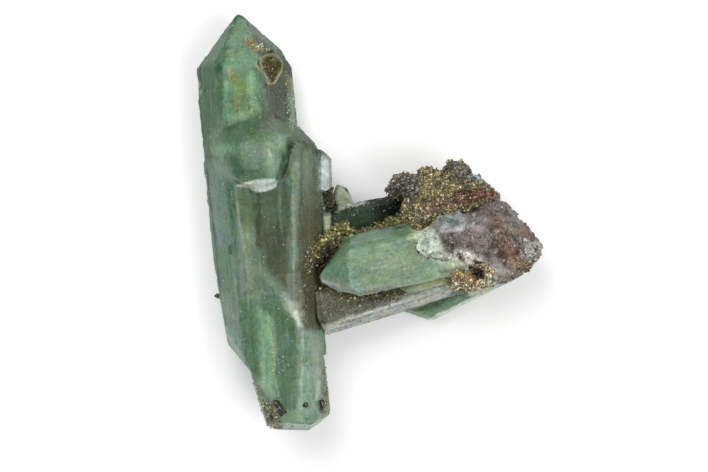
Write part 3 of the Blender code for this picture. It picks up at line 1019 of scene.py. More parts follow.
@dataclass(frozen=True)
class SugarQuartz:
    """Broken, granular quartz with white grains and painted glints, painted shade in its cracks and dips, and iron-red
    clouds.
    """

    name: str
    roughness: float = 0.38
    # sparks scales the pale and white flecks, which are partly white grains and partly painted glints.
    sparks: float = 0.9
    hollow_shade_strength: float = 0.5
    milk: Colour = (0.52, 0.49, 0.47)

    def material(self) -> bpy.types.Material:
        """Build the material."""
        board = Board(self.name)
        place = board.millimetres()
        tint = board.node("ShaderNodeAttribute", {"attribute_name": "tint"}, result="Color")
        hollow_shade = board.node("ShaderNodeAttribute", {"attribute_name": "hollow_shade"}, result="Fac")
        cloud = board.noise(place, 0.8, 5.0, 0.65)
        grain = board.noise(place, 4.2, 4.0, 0.7)
        colour = board.mix(cloud.rise(0.32, 0.68), board.scaled(tint, 0.5), board.scaled(tint, 1.45))
        colour = board.mix(grain.rise(0.54, 0.72) * 0.5, colour, self.milk)
        dim = board.node("ShaderNodeRGBToBW", sockets={0: tint}).rise(0.5, 0.2) * 0.6 + 0.25
        colour = board.mix(grain.rise(0.48, 0.34) * dim, colour, board.scaled(tint, 0.18))
        # Pale flecks here and white flecks below: partly white grains, partly painted glints.
        glitter = board.flecks(place, 3.4, 0.26, 0.6)
        colour = board.mix(glitter * self.sparks, colour, self.milk)
        # Painted shade: cracks, chinks and the dips between lumps are darkened towards a deep copy of the tint.
        colour = board.mix(hollow_shade * self.hollow_shade_strength, colour, board.scaled(tint, 0.2))
        sparks = board.flecks(place, 1.9, 0.18, 0.6)
        colour = board.mix(sparks * self.sparks, colour, (0.85, 0.84, 0.8))
        rust = board.flecks(place, 1.1, 0.22, 0.8)
        colour = board.mix(rust * 0.35, colour, (0.17, 0.07, 0.04))
        height = grain + sparks * 0.5
        return board.surface(
            {
                "Base Color": colour,
                "Roughness": grain * 0.3 + (self.roughness - 0.15),
                "Normal": board.bump(height, 0.1),
                "IOR": 1.54,
                "Subsurface Weight": 0.3,
                "Subsurface Radius": (1.0, 0.7, 0.6),
                "Subsurface Scale": 0.0003,
            }
        )


@dataclass(frozen=True)
class GrainGloss:
    """The shine of small grown crystals, each in its own colour."""

    name: str
    roughness: float = 0.24
    bend: float = 1.62
    dirt: float = 0.45

    def material(self) -> bpy.types.Material:
        """Build the material."""
        board = Board(self.name)
        place = board.millimetres()
        tint = board.node("ShaderNodeAttribute", {"attribute_name": "tint"}, result="Color")
        cloud = board.noise(place, 3.5, 3.0, 0.6)
        colour = board.mix(cloud.rise(0.3, 0.7), board.scaled(tint, 0.65), board.scaled(tint, 1.35))
        dirt = board.noise(place, 1.1, 4.0, 0.6)
        colour = board.mix(dirt.rise(0.55, 0.75) * self.dirt, colour, (0.045, 0.035, 0.018))
        return board.surface(
            {
                "Base Color": colour,
                "Roughness": cloud * 0.3 + (self.roughness - 0.1),
                "Normal": board.bump(board.noise(place, 9.0, 2.0, 0.5), 0.02),
                "IOR": self.bend,
            }
        )


# Pieces


def make_piece(name: str, mesh: bpy.types.Mesh, material: bpy.types.Material) -> bpy.types.Object:
    """Make a piece that rides on the cluster's one body.

    Args:
        name: The piece's name.
        mesh: Its mesh in metres.
        material: Its finish.

    Returns:
        The new object.
    """
    mesh.materials.clear()
    mesh.materials.append(material)
    piece = bpy.data.objects.new(name, mesh)
    bpy.context.scene.collection.objects.link(piece)
    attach(piece, "root")
    LOG.info("%s: %d faces", name, len(mesh.polygons))
    return piece


@dataclass(frozen=True)
class Dent:
    """A patch that is pressed down, in millimetres, or raised if the depth is less than nothing."""

    patch: Patch
    depth: float


@dataclass
class CrystalPiece:
    """One packed crystal or group of crystals, given its worn, striped and stained surface, with some shade painted
    into its colour.
    """

    node: str
    name: str
    slot: str
    finish: CloudyQuartz
    voxel: float
    base: Colour
    stains_and_shade: tuple[StainAndShade, ...]
    heading: float
    seed: int
    rounded: tuple[Patch, ...] = ()
    dents: tuple[Dent, ...] = ()
    hillocks: float = 0.035
    stripes: float = 0.018
    chips: float = 0.2
    side_shade: float = 0.25
    neighbours: tuple[str, ...] = ()
    growth: float = 0.36
    skin: Skin = field(init=False)

    def shape(self, forms: dict[str, PackedForm]) -> None:
        """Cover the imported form, keep its faces flat, and wear it.

        Args:
            forms: Every packed form by its node's name.
        """
        form = forms[self.node]
        self.skin = Skin(form, self.voxel)
        flat, ways = form.nearest(self.skin.points)
        ridge = form.ridge_distance(self.skin.points)
        rounded = np.zeros(len(flat))
        for patch in self.rounded:
            rounded = np.maximum(rounded, patch.share(flat, ways))
        self.skin.relax(1)
        hold = (ramp(ridge, 0.06, 0.28) * (1.0 - rounded))[:, None]
        self.skin.points = self.skin.points * (1.0 - hold) + flat * hold
        self.skin.relax(90, rounded * 0.5)
        points = self.skin.points.copy()
        self._colour(flat, ways, ramp(ridge, 0.3, 0.0) * (1.0 - rounded))
        self.skin.push(self._relief(points, ridge + rounded, self.skin.values["frost"]))
        for dent in self.dents:
            self.skin.points[:, 2] -= dent.patch.share(flat, ways) * dent.depth
        self.skin.meet([forms[name] for name in self.neighbours], growth=self.growth)

    def _colour(self, flat: np.ndarray, ways: np.ndarray, ridge: np.ndarray) -> None:
        """Lay the colour marks, some of them painted shade, over the base colour, darken faces turned sideways as
        painted shade, and note where the quartz is frosted.
        """
        frost = np.zeros(len(flat))
        tint = np.tile(np.array(self.base), (len(flat), 1))
        tint *= (1.0 - self.side_shade * ramp(ways[:, 2], 0.35, -0.2))[:, None]
        for stain_and_shade in self.stains_and_shade:
            share = stain_and_shade.patch.share(flat, ways) * stain_and_shade.strength
            tint = blended(tint, stain_and_shade.colour, share)
            frost = np.maximum(frost * (1.0 - share), share * stain_and_shade.frost)
        self.skin.values = {"tint": tint, "frost": frost, "ridge": ridge}

    def _relief(self, points: np.ndarray, ridge: np.ndarray, frost: np.ndarray) -> np.ndarray:
        """Work out hillocks, growth stripes, frosted roughness and chipped ridges, in millimetres."""
        turn = math.radians(self.heading)
        along = points[:, 0] * math.cos(turn) + points[:, 1] * math.sin(turn)
        banded = np.stack([along * 3.2, points[:, 0] * 0.12, points[:, 2] * 0.12], axis=1)
        relief = layered_noise(points, 2.6, self.seed) * self.hillocks
        relief += layered_noise(banded, 1.0, self.seed + 5) * self.stripes
        relief += soft_noise(points, 0.42, self.seed + 9) * frost * 0.035
        broken = ramp(soft_noise(points, 0.95, self.seed + 11), 0.1, 0.6)
        nicked = ramp(soft_noise(points, 0.4, self.seed + 13), 0.25, 0.7)
        relief -= broken * ramp(ridge, 0.42, 0.0) * self.chips
        relief -= nicked * ramp(ridge, 0.3, 0.0) * self.chips * 0.5
        return relief

    def dress(self) -> bpy.types.Object:
        """Make the piece, with its finish, in its node's place."""
        mesh = self.skin.finished_mesh(self.name)
        piece = make_piece(self.name, mesh, self.finish.material())
        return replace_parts(piece, self.node)

    def grow(
        self, name: str, slot: str, finish: "GrainGloss", plots: Sequence[tuple[Patch, Crowd, float]]
    ) -> bpy.types.Object:
        """Grow crowds of small crystals on patches of the skin.

        Args:
            name: The new piece's name.
            slot: Not used.
            finish: The small crystals' finish.
            plots: Each patch, what grows there and how densely, from 0 to 1.

        Returns:
            The new piece.
        """
        grains = Grains(self.seed)
        ways = self.skin.normals()
        for patch, crowd, density in plots:
            grains.grow(crowd, self.skin.points, ways, patch.share(self.skin.points, ways) * density)
        return make_piece(name, grains.finished_mesh(name), finish.material())


TALL_LEFT: Way = (-0.861, -0.09, 0.5)
SIDE_UPPER: Way = (-0.18, 0.84, 0.5)
SIDE_LOWER: Way = (0.18, -0.84, 0.5)

PIT = ((261, 59), (266, 56), (272, 55), (278, 58), (281, 63), (280, 69), (277, 76), (273, 82), (270, 82), (266, 76),
       (262, 69), (260, 63))
LEDGE = ((235, 186), (250, 183), (263, 181), (279, 181), (277, 187), (268, 191), (258, 191), (252, 188), (243, 188))

TALL_STAINS_AND_SHADE = (
    StainAndShade(Patch(((238, 8), (190, 64), (196, 165), (222, 165), (221, 64), (234, 30)), 0, 14), (0.012, 0.08, 0.019)),
    StainAndShade(Patch(((200, 70), (203, 158)), 1.5, 5), (0.05, 0.125, 0.07), 0.6),
    StainAndShade(Patch(((203, 140), (216, 165)), 4, 12), (0.055, 0.105, 0.075), 0.6),
    StainAndShade(Patch(((206, 160), (224, 160), (243, 190), (236, 300), (250, 372), (216, 330)), 0, 8), (0.072, 0.156, 0.094)),
    StainAndShade(Patch(((214, 178), (224, 290)), 3, 8), (0.078, 0.157, 0.121), 0.8),
    StainAndShade(Patch(((239, 16), (250, 24), (262, 48), (258, 66), (226, 66), (228, 44)), 0, 8), (0.165, 0.27, 0.17)),
    StainAndShade(Patch(((226, 64), (260, 66), (262, 124), (222, 126)), 0, 12), (0.12, 0.228, 0.118)),
    StainAndShade(Patch(((252, 76), (254, 112)), 3.5, 7), (0.225, 0.345, 0.2), 0.9),
    StainAndShade(Patch(((227, 84), (226, 116)), 2.5, 6), (0.17, 0.29, 0.18), 0.8),
    StainAndShade(Patch(((238, 78), (240, 112)), 4, 8), (0.16, 0.24, 0.085), 0.85),
    StainAndShade(Patch(((250, 20), (290, 56), (298, 70), (298, 128), (266, 124), (263, 70)), 0, 7), (0.013, 0.028, 0.002), 1.0, 0.5),
    StainAndShade(Patch(((252, 22), (284, 54)), 5, 8), (0.085, 0.125, 0.08), 0.8, 0.5),
    StainAndShade(Patch(((268, 96), (276, 118)), 3, 10), (0.05, 0.05, 0.03), 0.6, 0.6),
    StainAndShade(Patch(((292, 80), (293, 124)), 3, 6), (0.21, 0.3, 0.2), 0.85, 0.9),
    StainAndShade(Patch(((264, 92), (266, 118)), 2, 6), (0.12, 0.19, 0.13), 0.6, 0.3),
    StainAndShade(Patch(((287, 76), (289, 88)), 2, 4), (0.13, 0.15, 0.04), 0.85, 0.5),
    StainAndShade(Patch(PIT, 2, 2), (0.42, 0.4, 0.25), 0.9, 0.8),
    StainAndShade(Patch(((259.5, 51), (259, 53)), 0.6, 2), (0.035, 0.035, 0.015), 0.9),
    StainAndShade(Patch(PIT, -0.5, 2), (0.04, 0.035, 0.008), 1.0, 0.5),
    StainAndShade(Patch(((244, 39), (251, 38), (262, 47), (266, 51), (258, 53), (249, 48)), 0, 3), (0.22, 0.17, 0.06), 0.85, 0.6),
    StainAndShade(Patch(((229, 71), (231, 75)), 1.5, 4), (0.36, 0.28, 0.16), 0.7, 0.5),
    StainAndShade(Patch(((235, 98), (238, 106)), 2, 4), (0.34, 0.18, 0.05), 0.8),
    StainAndShade(Patch(((255, 112), (255, 117)), 0.5, 2), (0.1, 0.03, 0.01), 0.9),
    StainAndShade(Patch(((250, 109), (250, 110)), 0.4, 1.5), (0.03, 0.03, 0.02), 0.9),
    StainAndShade(Patch(((271, 124), (277, 126)), 1, 3), (0.45, 0.3, 0.18), 0.8, 0.7),
    StainAndShade(Patch(((199, 83), (199, 94)), 1, 4), (0.35, 0.45, 0.38), 0.6, 0.8),
    StainAndShade(Patch(((215, 247), (226, 250), (233, 262), (234, 302), (228, 300), (222, 272)), 0, 5), (0.07, 0.16, 0.072), 0.85),
    StainAndShade(Patch(((229, 246), (231, 256)), 1.5, 3), (0.07, 0.085, 0.03), 0.8, 0.3),
    StainAndShade(Patch(((236, 279), (238, 283)), 0.3, 1.5), (0.6, 0.7, 0.65), 0.7, 0.6),
    StainAndShade(Patch(((212, 182), (220, 240)), 4, 9), (0.12, 0.19, 0.16), 0.6, 0.2),
    StainAndShade(Patch(((222, 188), (230, 240)), 2, 6), (0.075, 0.15, 0.095), 0.6),
    StainAndShade(Patch(((229, 300), (240, 345)), 3, 8), (0.115, 0.195, 0.165), 0.6),
    # Painted shade: thin near-black strokes along the tall crystal's left and right outlines, where its faces turn
    # away.
    StainAndShade(Patch(((199, 64), (201, 84), (198, 92), (201, 120), (204, 150), (208, 182), (211, 212), (215, 242),
                 (218, 274), (220, 294), (223, 306), (226, 330), (229, 345)), 0.7, 2, open=True), (0.004, 0.014, 0.008), 0.85),
    StainAndShade(Patch(((199, 64), (216, 40), (237, 14), (252, 22), (284, 53), (288, 61), (294, 69), (295, 90), (296, 112)),
                0.6, 2, open=True), (0.006, 0.012, 0.006), 0.85),
    StainAndShade(Patch(((225, 310), (236, 318)), 2, 5), (0.24, 0.32, 0.25), 0.4, 0.7),
    StainAndShade(Patch(((223, 298), (236, 350)), 5, 8), (0.165, 0.235, 0.185), 0.6),
    StainAndShade(Patch(((224, 330), (246, 366)), 3, 6), (0.3, 0.41, 0.32), 0.65),
    StainAndShade(Patch(((213, 295), (217, 296)), 2, 1.5), (0.015, 0.018, 0.012), 0.95),
)
DOME_STAINS_AND_SHADE = (
    StainAndShade(Patch(((215, 140), (240, 123), (275, 122), (298, 130), (292, 142), (280, 180), (240, 184), (222, 166)), 0, 6),
          (0.095, 0.175, 0.1)),
    # Painted shade: darker bands along the dome's top edge, where it tucks under the tall crystal.
    StainAndShade(Patch(((218, 140), (256, 124)), 9, 8), (0.062, 0.13, 0.062), 0.95),
    StainAndShade(Patch(((262, 124), (294, 130)), 6, 6), (0.07, 0.115, 0.062), 0.9, 0.2),
    StainAndShade(Patch(((218, 152), (232, 150)), 5, 8), (0.13, 0.275, 0.145), 0.9),
    # Painted shade: a dark stroke over the dome's top crease, laid where the key light would catch it.
    StainAndShade(Patch(((212, 143), (224, 132), (238, 125)), 1.5, 4, open=True), (0.05, 0.11, 0.055), 0.9),
    StainAndShade(Patch(((231, 162), (242, 172)), 7, 10), (0.045, 0.1, 0.055), 0.95),
    StainAndShade(Patch(((266, 140), (284, 138), (280, 172), (268, 178)), 0, 9), (0.195, 0.285, 0.19), 0.9, 0.2),
    StainAndShade(Patch(((270, 152), (272, 157)), 1, 3), (0.4, 0.45, 0.4), 0.7, 0.4),
    # Painted shadow: a dark line down the step at the dome's right edge, and its softer end below.
    StainAndShade(Patch(((292, 143), (290.5, 150), (288, 162), (285, 175), (283, 184)), 3.8, 6, open=True), (0.009, 0.018, 0.002), 0.97),
    StainAndShade(Patch(((285, 183), (286, 206)), 3.5, 7), (0.055, 0.095, 0.045), 0.8),
    # Painted shade: darker band under the broken ledge.
    StainAndShade(Patch(((244, 187), (278, 185)), 6.0, 3), (0.08, 0.125, 0.07), 1.0),
    StainAndShade(Patch(LEDGE, 0.3, 2), (0.52, 0.58, 0.53), 1.0, 0.8),
)
BODY_STAINS_AND_SHADE = (
    StainAndShade(Patch(((237, 192), (257, 192), (258, 236), (238, 236)), 0, 6), (0.1, 0.153, 0.077), 0.9),
    StainAndShade(Patch(((238, 226), (258, 226), (262, 300), (238, 300)), 0, 14), (0.185, 0.25, 0.165), 0.9),
    StainAndShade(Patch(((236, 214), (242, 232), (246, 258), (248, 294), (250, 330), (240, 330), (236, 262)), 0, 4), (0.1, 0.17, 0.13), 0.7),
    StainAndShade(Patch(((237, 190), (242, 234), (247, 258), (249.5, 294), (250.5, 334)), 0.8, 3, open=True), (0.25, 0.33, 0.23), 0.6, 0.2),
    StainAndShade(Patch(((260, 190), (260, 226)), 3.2, 4), (0.03, 0.055, 0.022), 0.95),
    StainAndShade(Patch(((260, 226), (260.5, 246)), 1.6, 5), (0.04, 0.055, 0.022), 0.85),
    StainAndShade(Patch(((259, 232), (260, 240)), 1.0, 3), (0.1, 0.055, 0.02), 0.6),
    StainAndShade(Patch(((263, 190), (292, 184), (294, 240), (262, 240)), 0, 7), (0.068, 0.105, 0.056), 0.95),
    StainAndShade(Patch(((262, 232), (293, 230), (289, 288), (262, 262)), 0, 16), (0.068, 0.082, 0.042), 0.95),
    StainAndShade(Patch(((292, 238), (293, 268)), 3, 8), (0.12, 0.15, 0.1), 0.6),
    StainAndShade(Patch(((297, 164), (297, 196)), 2.4, 7), (0.26, 0.32, 0.235), 0.85, 0.2),
    StainAndShade(Patch(((296, 196), (296, 264)), 3.2, 8), (0.26, 0.31, 0.24), 0.85, 0.2),
    StainAndShade(Patch(((302, 150), (320, 150), (322, 208), (301, 208)), 0, 6), (0.135, 0.18, 0.11), 0.9, 0.5),
    StainAndShade(Patch(((312, 156), (320, 178)), 3, 7), (0.09, 0.15, 0.09), 0.8, 0.6),
    StainAndShade(Patch(((307, 160), (308, 204)), 0.8, 3), (0.24, 0.27, 0.2), 0.5, 0.5),
    StainAndShade(Patch(((301, 205), (322, 205), (322, 264), (300, 264)), 0, 7), (0.1, 0.095, 0.055), 0.9, 0.5),
    StainAndShade(Patch(((298, 262), (320, 262), (318, 332), (298, 328)), 0, 6), (0.072, 0.055, 0.025), 0.9, 0.6),
    StainAndShade(Patch(((316, 172), (317, 262)), 2.5, 4), (0.11, 0.075, 0.05), 0.5, 0.4),
    StainAndShade(Patch(((288, 274), (301, 272), (303, 286), (302, 306), (294, 308), (282, 294), (288, 286)), 0, 3),
          (0.165, 0.175, 0.13), 0.85, 0.4),
    StainAndShade(Patch(((258, 266), (274, 284), (288, 300)), 2.2, 10, open=True), (0.2, 0.26, 0.18), 0.65, 0.4),
    StainAndShade(Patch(((282, 292), (296, 302), (303, 312), (303, 326), (294, 324)), 0, 8), (0.37, 0.43, 0.35), 0.8, 0.9),
    StainAndShade(Patch(((296, 312), (301, 325)), 2.5, 5), (0.62, 0.68, 0.62), 0.75, 0.9),
    StainAndShade(Patch(((298, 134), (320, 150)), 7, 6), (0.02, 0.05, 0.012), 0.92, 0.5),
    # Painted shade: thin dark strokes along the shoulder's and the right side's outlines.
    StainAndShade(Patch(((301, 128), (319, 150), (321, 160)), 0.4, 2, open=True), (0.02, 0.03, 0.02), 0.6),
    StainAndShade(Patch(((322, 192), (323, 262)), 0.4, 2), (0.02, 0.02, 0.012), 0.7),
    StainAndShade(Patch(((303, 200), (304, 262)), 0.6, 2.5), (0.15, 0.12, 0.09), 0.6, 0.3),
    StainAndShade(Patch(((302, 150), (302, 204)), 0.8, 3), (0.06, 0.085, 0.045), 0.6, 0.3),
)
LOWER_STAINS_AND_SHADE = (
    StainAndShade(Patch(((240, 300), (272, 308), (278, 400), (262, 398)), 0, 7), (0.075, 0.16, 0.075), 0.95),
    StainAndShade(Patch(((258, 305), (274, 320), (275, 392), (262, 380)), 0, 7), (0.22, 0.4, 0.235), 0.75),
    StainAndShade(Patch(((276, 305), (298, 318), (297, 420), (282, 420)), 0, 7), (0.06, 0.13, 0.065), 0.9),
    StainAndShade(Patch(((299, 328), (322, 330), (318, 412), (298, 418)), 0, 7), (0.2, 0.295, 0.21), 0.9),
    StainAndShade(Patch(((303.5, 331), (302, 380), (301.5, 418)), 0.8, 3, open=True), (0.34, 0.44, 0.34), 0.7),
    StainAndShade(Patch(((271.5, 330), (275, 352), (275, 372), (278, 386), (281, 398)), 0.7, 2, open=True), (0.36, 0.4, 0.2), 0.7, 0.8),
    StainAndShade(Patch(((252, 374), (266, 402)), 1.5, 5), (0.18, 0.2, 0.15), 0.7, 0.8),
    StainAndShade(Patch(((262, 378), (274, 396)), 4, 6), (0.25, 0.36, 0.26), 0.7, 0.2),
    StainAndShade(Patch(((266, 402), (276, 408), (284, 428), (268, 428)), 0, 4), (0.04, 0.045, 0.018), 0.9, 0.8),
    # Painted shade: thin dark strokes along the lower crystal's outline.
    StainAndShade(Patch(((250, 372), (262, 404), (267, 424), (284, 428), (312, 429), (329, 414), (327, 380), (325, 340)),
                0.4, 2, open=True), (0.01, 0.025, 0.014), 0.75),
    StainAndShade(Patch(((284, 427), (313, 428), (326, 418)), 1.5, 3, open=True), (0.05, 0.11, 0.06), 0.8),
    # Painted shade: the brown crust here is made near black along the deep gap between the front crystal and the grey
    # crystal's end.
    StainAndShade(Patch(((317, 266), (320, 300), (319, 328)), 2.5, 6, open=True), (0.03, 0.026, 0.012), 0.9),
    # Painted shade: thin dark stroke along the lower crystal's left outline.
    StainAndShade(Patch(((229, 345), (240, 358), (250, 370)), 0.4, 2, open=True), (0.02, 0.04, 0.025), 0.6),
    StainAndShade(Patch(((327, 366), (326, 410)), 3.5, 4), (0.14, 0.165, 0.095), 0.85, 0.9),
    StainAndShade(Patch(((320, 368), (317, 398)), 1.5, 3), (0.42, 0.5, 0.42), 0.6, 0.8),
    StainAndShade(Patch(((290, 416), (315, 420)), 8, 8), (0.165, 0.27, 0.17), 0.7),
)


@dataclass
class MainCrystals(CrystalPiece):
    """The tall crystal, the front crystal with its dome and slab, and the lower crystal."""

    node: str = "main_crystals"
    name: str = "tall_and_front_crystals"
    slot: str = "green_quartz"
    finish: CloudyQuartz = CloudyQuartz("cloudy green quartz", 95.0)
    voxel: float = 0.2
    base: Colour = (0.1, 0.175, 0.11)
    stains_and_shade: tuple[StainAndShade, ...] = TALL_STAINS_AND_SHADE + BODY_STAINS_AND_SHADE + LOWER_STAINS_AND_SHADE + DOME_STAINS_AND_SHADE
    rounded: tuple[Patch, ...] = (
        Patch(((200, 146), (218, 122), (243, 110), (270, 110), (302, 124), (294, 142), (284, 181), (238, 182), (230, 189),
               (214, 178), (205, 166)), 0, 5, ragged=0.1),
        Patch(((224, 64), (258, 66)), 15, 14, ragged=0.1),
        Patch(((222, 60), (222, 124)), 2, 5, ragged=0.1),
        Patch(((259, 188), (261, 256)), 6, 4, ragged=0.1),
        Patch(((298, 150), (298, 300)), 2, 4, ragged=0.1),
        Patch(((244, 302), (286, 300), (302, 330)), 0, 14, ragged=0.1),
        Patch(((284, 300), (302, 334)), 8, 6, ragged=0.1),
    )
    dents: tuple[Dent, ...] = (
        Dent(Patch(PIT, 0.5, 2.5, ragged=0.2), 1.1),
        Dent(Patch(((260, 192), (260, 246)), 1.5, 6, ragged=0.2), 0.3),
    )
    flange: tuple[tuple[Way, Way], ...] = (
        ((-6.9, 0.0, 0.0), (-1.0, 0.0, 0.0)),
        ((0.0, 3.6, 0.0), (0.0, -1.0, 0.0)),
        ((0.0, 0.0, 9.6), (0.0, 0.0, 1.0)),
        ((0.0, 0.0, 6.0), (0.0, 0.0, -1.0)),
        ((-5.594, 9.153, 0.0), (0.563, 0.826, 0.0)),
    )
    heading: float = 96.0
    seed: int = 101
    grain_skin: Optional[Skin] = None

    def shape(self, forms: dict[str, PackedForm]) -> None:
        """Shape the crystals and take off the clear flange, which is a piece of its own.

        Args:
            forms: Every packed form by its node's name.
        """
        super().shape(forms)
        points = self.skin.points
        loose = (points[:, 0] > -6.75) & (points[:, 1] > 3.7) & (points[:, 2] > 6.0) & (points[:, 2] < 9.8)
        points[loose, 0] = -6.75

    def dress_flange(self) -> bpy.types.Object:
        """Make the small clear flange on the shoulder, which the floor shows through."""
        skin = Skin(PackedForm(self.node, self.flange), 0.13)
        skin.relax(2)
        height, _ = broken_blocks(skin.points, 1.3, self.seed + 40, 0.07, 0.2)
        skin.push(height + soft_noise(skin.points, 0.6, self.seed + 41) * 0.02)
        mesh = skin.finished_mesh("clear_flange")
        return make_piece("clear_flange", mesh, ClearQuartz("clear quartz flange").material())

    def grow_grains(self) -> bpy.types.Object:
        """Grow the small brown and yellow grains that sit in the pit, on the crest and beside the seam, and the dark
        grains that fill the crevice under the flange as painted shade.
        """
        brown = ((0.07, 0.055, 0.012), (0.16, 0.13, 0.03), (0.03, 0.025, 0.008), (0.3, 0.24, 0.07))
        yellow = ((0.3, 0.24, 0.07), (0.42, 0.38, 0.17), (0.16, 0.12, 0.03), (0.5, 0.48, 0.36))
        olive = ((0.16, 0.17, 0.06), (0.3, 0.28, 0.12), (0.08, 0.08, 0.03), (0.4, 0.42, 0.3))
        pale = ((0.5, 0.58, 0.5), (0.32, 0.4, 0.32), (0.6, 0.62, 0.55))
        gold = ((0.19, 0.155, 0.035), (0.1, 0.08, 0.025), (0.29, 0.25, 0.08), (0.04, 0.032, 0.014), (0.44, 0.4, 0.22))
        lemon = ((0.45, 0.47, 0.24), (0.6, 0.62, 0.45), (0.28, 0.3, 0.12), (0.36, 0.42, 0.26))
        plots = (
            (Patch(PIT, -0.5, 2), Crowd(Habit.GARNET, 0.2, 0.085, 0.09, colours=brown, shine=0.5), 0.9),
            (Patch(((246, 41), (256, 48)), 3, 3), Crowd(Habit.GARNET, 0.2, 0.08, 0.09, colours=yellow), 0.7),
            (Patch(((259, 47), (268, 51)), 2.5, 3), Crowd(Habit.SHARD, 0.2, 0.1, 0.13, colours=lemon, shine=0.45), 0.7),
            (Patch(((285, 72), (288, 86)), 2, 3), Crowd(Habit.GARNET, 0.26, 0.1, 0.1, colours=olive), 0.5),
            (Patch(((288, 98), (293, 126)), 3, 5), Crowd(Habit.SHARD, 0.3, 0.11, 0.14, colours=pale), 0.45),
            (Patch(((321, 240), (310, 254), (307, 268)), 3.5, 6, heights=(7.0, 99.0), open=True),
             Crowd(Habit.GARNET, 0.26, 0.12, 0.14, colours=gold, shine=0.4), 0.8),
            (Patch(((322, 230), (312, 246)), 6, 6, heights=(7.0, 99.0)),
             Crowd(Habit.SHARD, 0.36, 0.075, 0.09, colours=pale + gold), 0.3),
            (Patch(((307, 268), (304, 290), (302, 326)), 2.5, 5, heights=(8.0, 99.0), open=True),
             Crowd(Habit.GARNET, 0.26, 0.07, 0.08, colours=gold + pale[:1]), 0.4),
            (Patch(((271.5, 330), (275, 352), (275, 372), (278, 386), (281, 398)), 0.8, 2, open=True),
             Crowd(Habit.SHARD, 0.16, 0.075, 0.085, colours=lemon), 0.75),
            (Patch(((270, 404), (277, 425)), 6, 4), Crowd(Habit.GARNET, 0.25, 0.13, 0.15, colours=olive), 0.75),
            (Patch(((254, 378), (265, 406)), 1.5, 4), Crowd(Habit.GARNET, 0.26, 0.1, 0.11, colours=olive + pale), 0.5),
            (Patch(((326, 370), (324, 410)), 3.5, 3), Crowd(Habit.SHARD, 0.28, 0.13, 0.16, colours=olive), 0.6),
            (Patch(((262, 400), (286, 424)), 9, 6), Crowd(Habit.GARNET, 0.4, 0.09, 0.1, colours=olive), 0.2),
        )
        grains = Grains(self.seed)
        ways = self.skin.normals()
        for patch, crowd, density in plots:
            share = patch.share(self.skin.points, ways) * density
            grains.grow(crowd, self.skin.points, ways, share)
        # Painted shade: near-black and dark green grains heaped in the crevice under the clear flange stand in for its
        # shadow.
        dark = ((0.05, 0.055, 0.02), (0.11, 0.11, 0.05), (0.025, 0.025, 0.01))
        green = ((0.03, 0.05, 0.03), (0.05, 0.08, 0.05), (0.02, 0.03, 0.02))
        for spot, height, spread, colours in (((328, 197), 6.9, (0.36, 0.7, 0.5), dark), ((331, 209), 5.2, (0.36, 0.6, 0.3), green)):
            nest = grains.chance.normal(size=(520, 3)).clip(-1.7, 1.7) * spread + part_place(spot, height)
            outwards = grains.chance.normal(size=(520, 3))
            outwards /= np.linalg.norm(outwards, axis=1, keepdims=True)
            crowd = Crowd(Habit.GARNET, 0.12, 0.14, 0.16, colours=colours, shine=0.4)
            grains.grow(crowd, nest, outwards, np.ones(520))
        finish = GrainGloss("brown and yellow grains").material()
        return make_piece("grains_on_green_crystals", grains.finished_mesh("grains"), finish)

    def grow_dark_crystals(self) -> bpy.types.Object:
        """Grow the small shiny dark crystals: centre, heading, rise, half width and length of each."""
        specks = (
            ((-11.85, -25.05, 14.05), 125.0, 8.0, 0.52, 1.85),
            ((-8.5, -24.6, 13.5), 20.0, 30.0, 0.34, 0.85),
            ((-6.35, -25.0, 11.25), 80.0, 20.0, 0.47, 1.3),
            ((-20.42, -10.15, 5.7), 150.0, 10.0, 0.26, 0.6),
            ((-13.0, -26.2, 12.85), 40.0, 20.0, 0.52, 1.45),
        )
        grains = Grains(self.seed + 1)
        for place, heading, rise, half, length in specks:
            turn, lift = math.radians(heading), math.radians(rise)
            way = np.array([[math.cos(turn) * math.cos(lift), math.sin(turn) * math.cos(lift), math.sin(lift)]])
            spot = np.array([place]) + np.array([[*ORIGIN_SHIFT, 0.0]]) + way * length * 0.1
            crowd = Crowd(
                Habit.NEEDLE, 50.0, half * 2.0, length * 0.5, wildness=0.0, sunk=0.0, spread=0.0,
                colours=((0.012, 0.012, 0.01), (0.02, 0.016, 0.01)),
            )
            grains.grow(crowd, spot, way, np.ones(1))
        crowd = Crowd(Habit.NEEDLE, 50.0, 0.62, 0.66, 0.0, 0.0, 0.0, colours=((0.085, 0.09, 0.03),))
        turn = math.radians(97.0)
        spot = np.array([[-18.55, -3.72, 10.18]])
        grains.grow(crowd, spot, np.array([[math.cos(turn), math.sin(turn), 0.0]]), np.ones(1))
        finish = GrainGloss("dark glossy crystals", 0.02, 1.7, 0.0).material()
        mesh = grains.finished_mesh("dark_small_crystals")
        return make_piece("dark_small_crystals", mesh, finish)


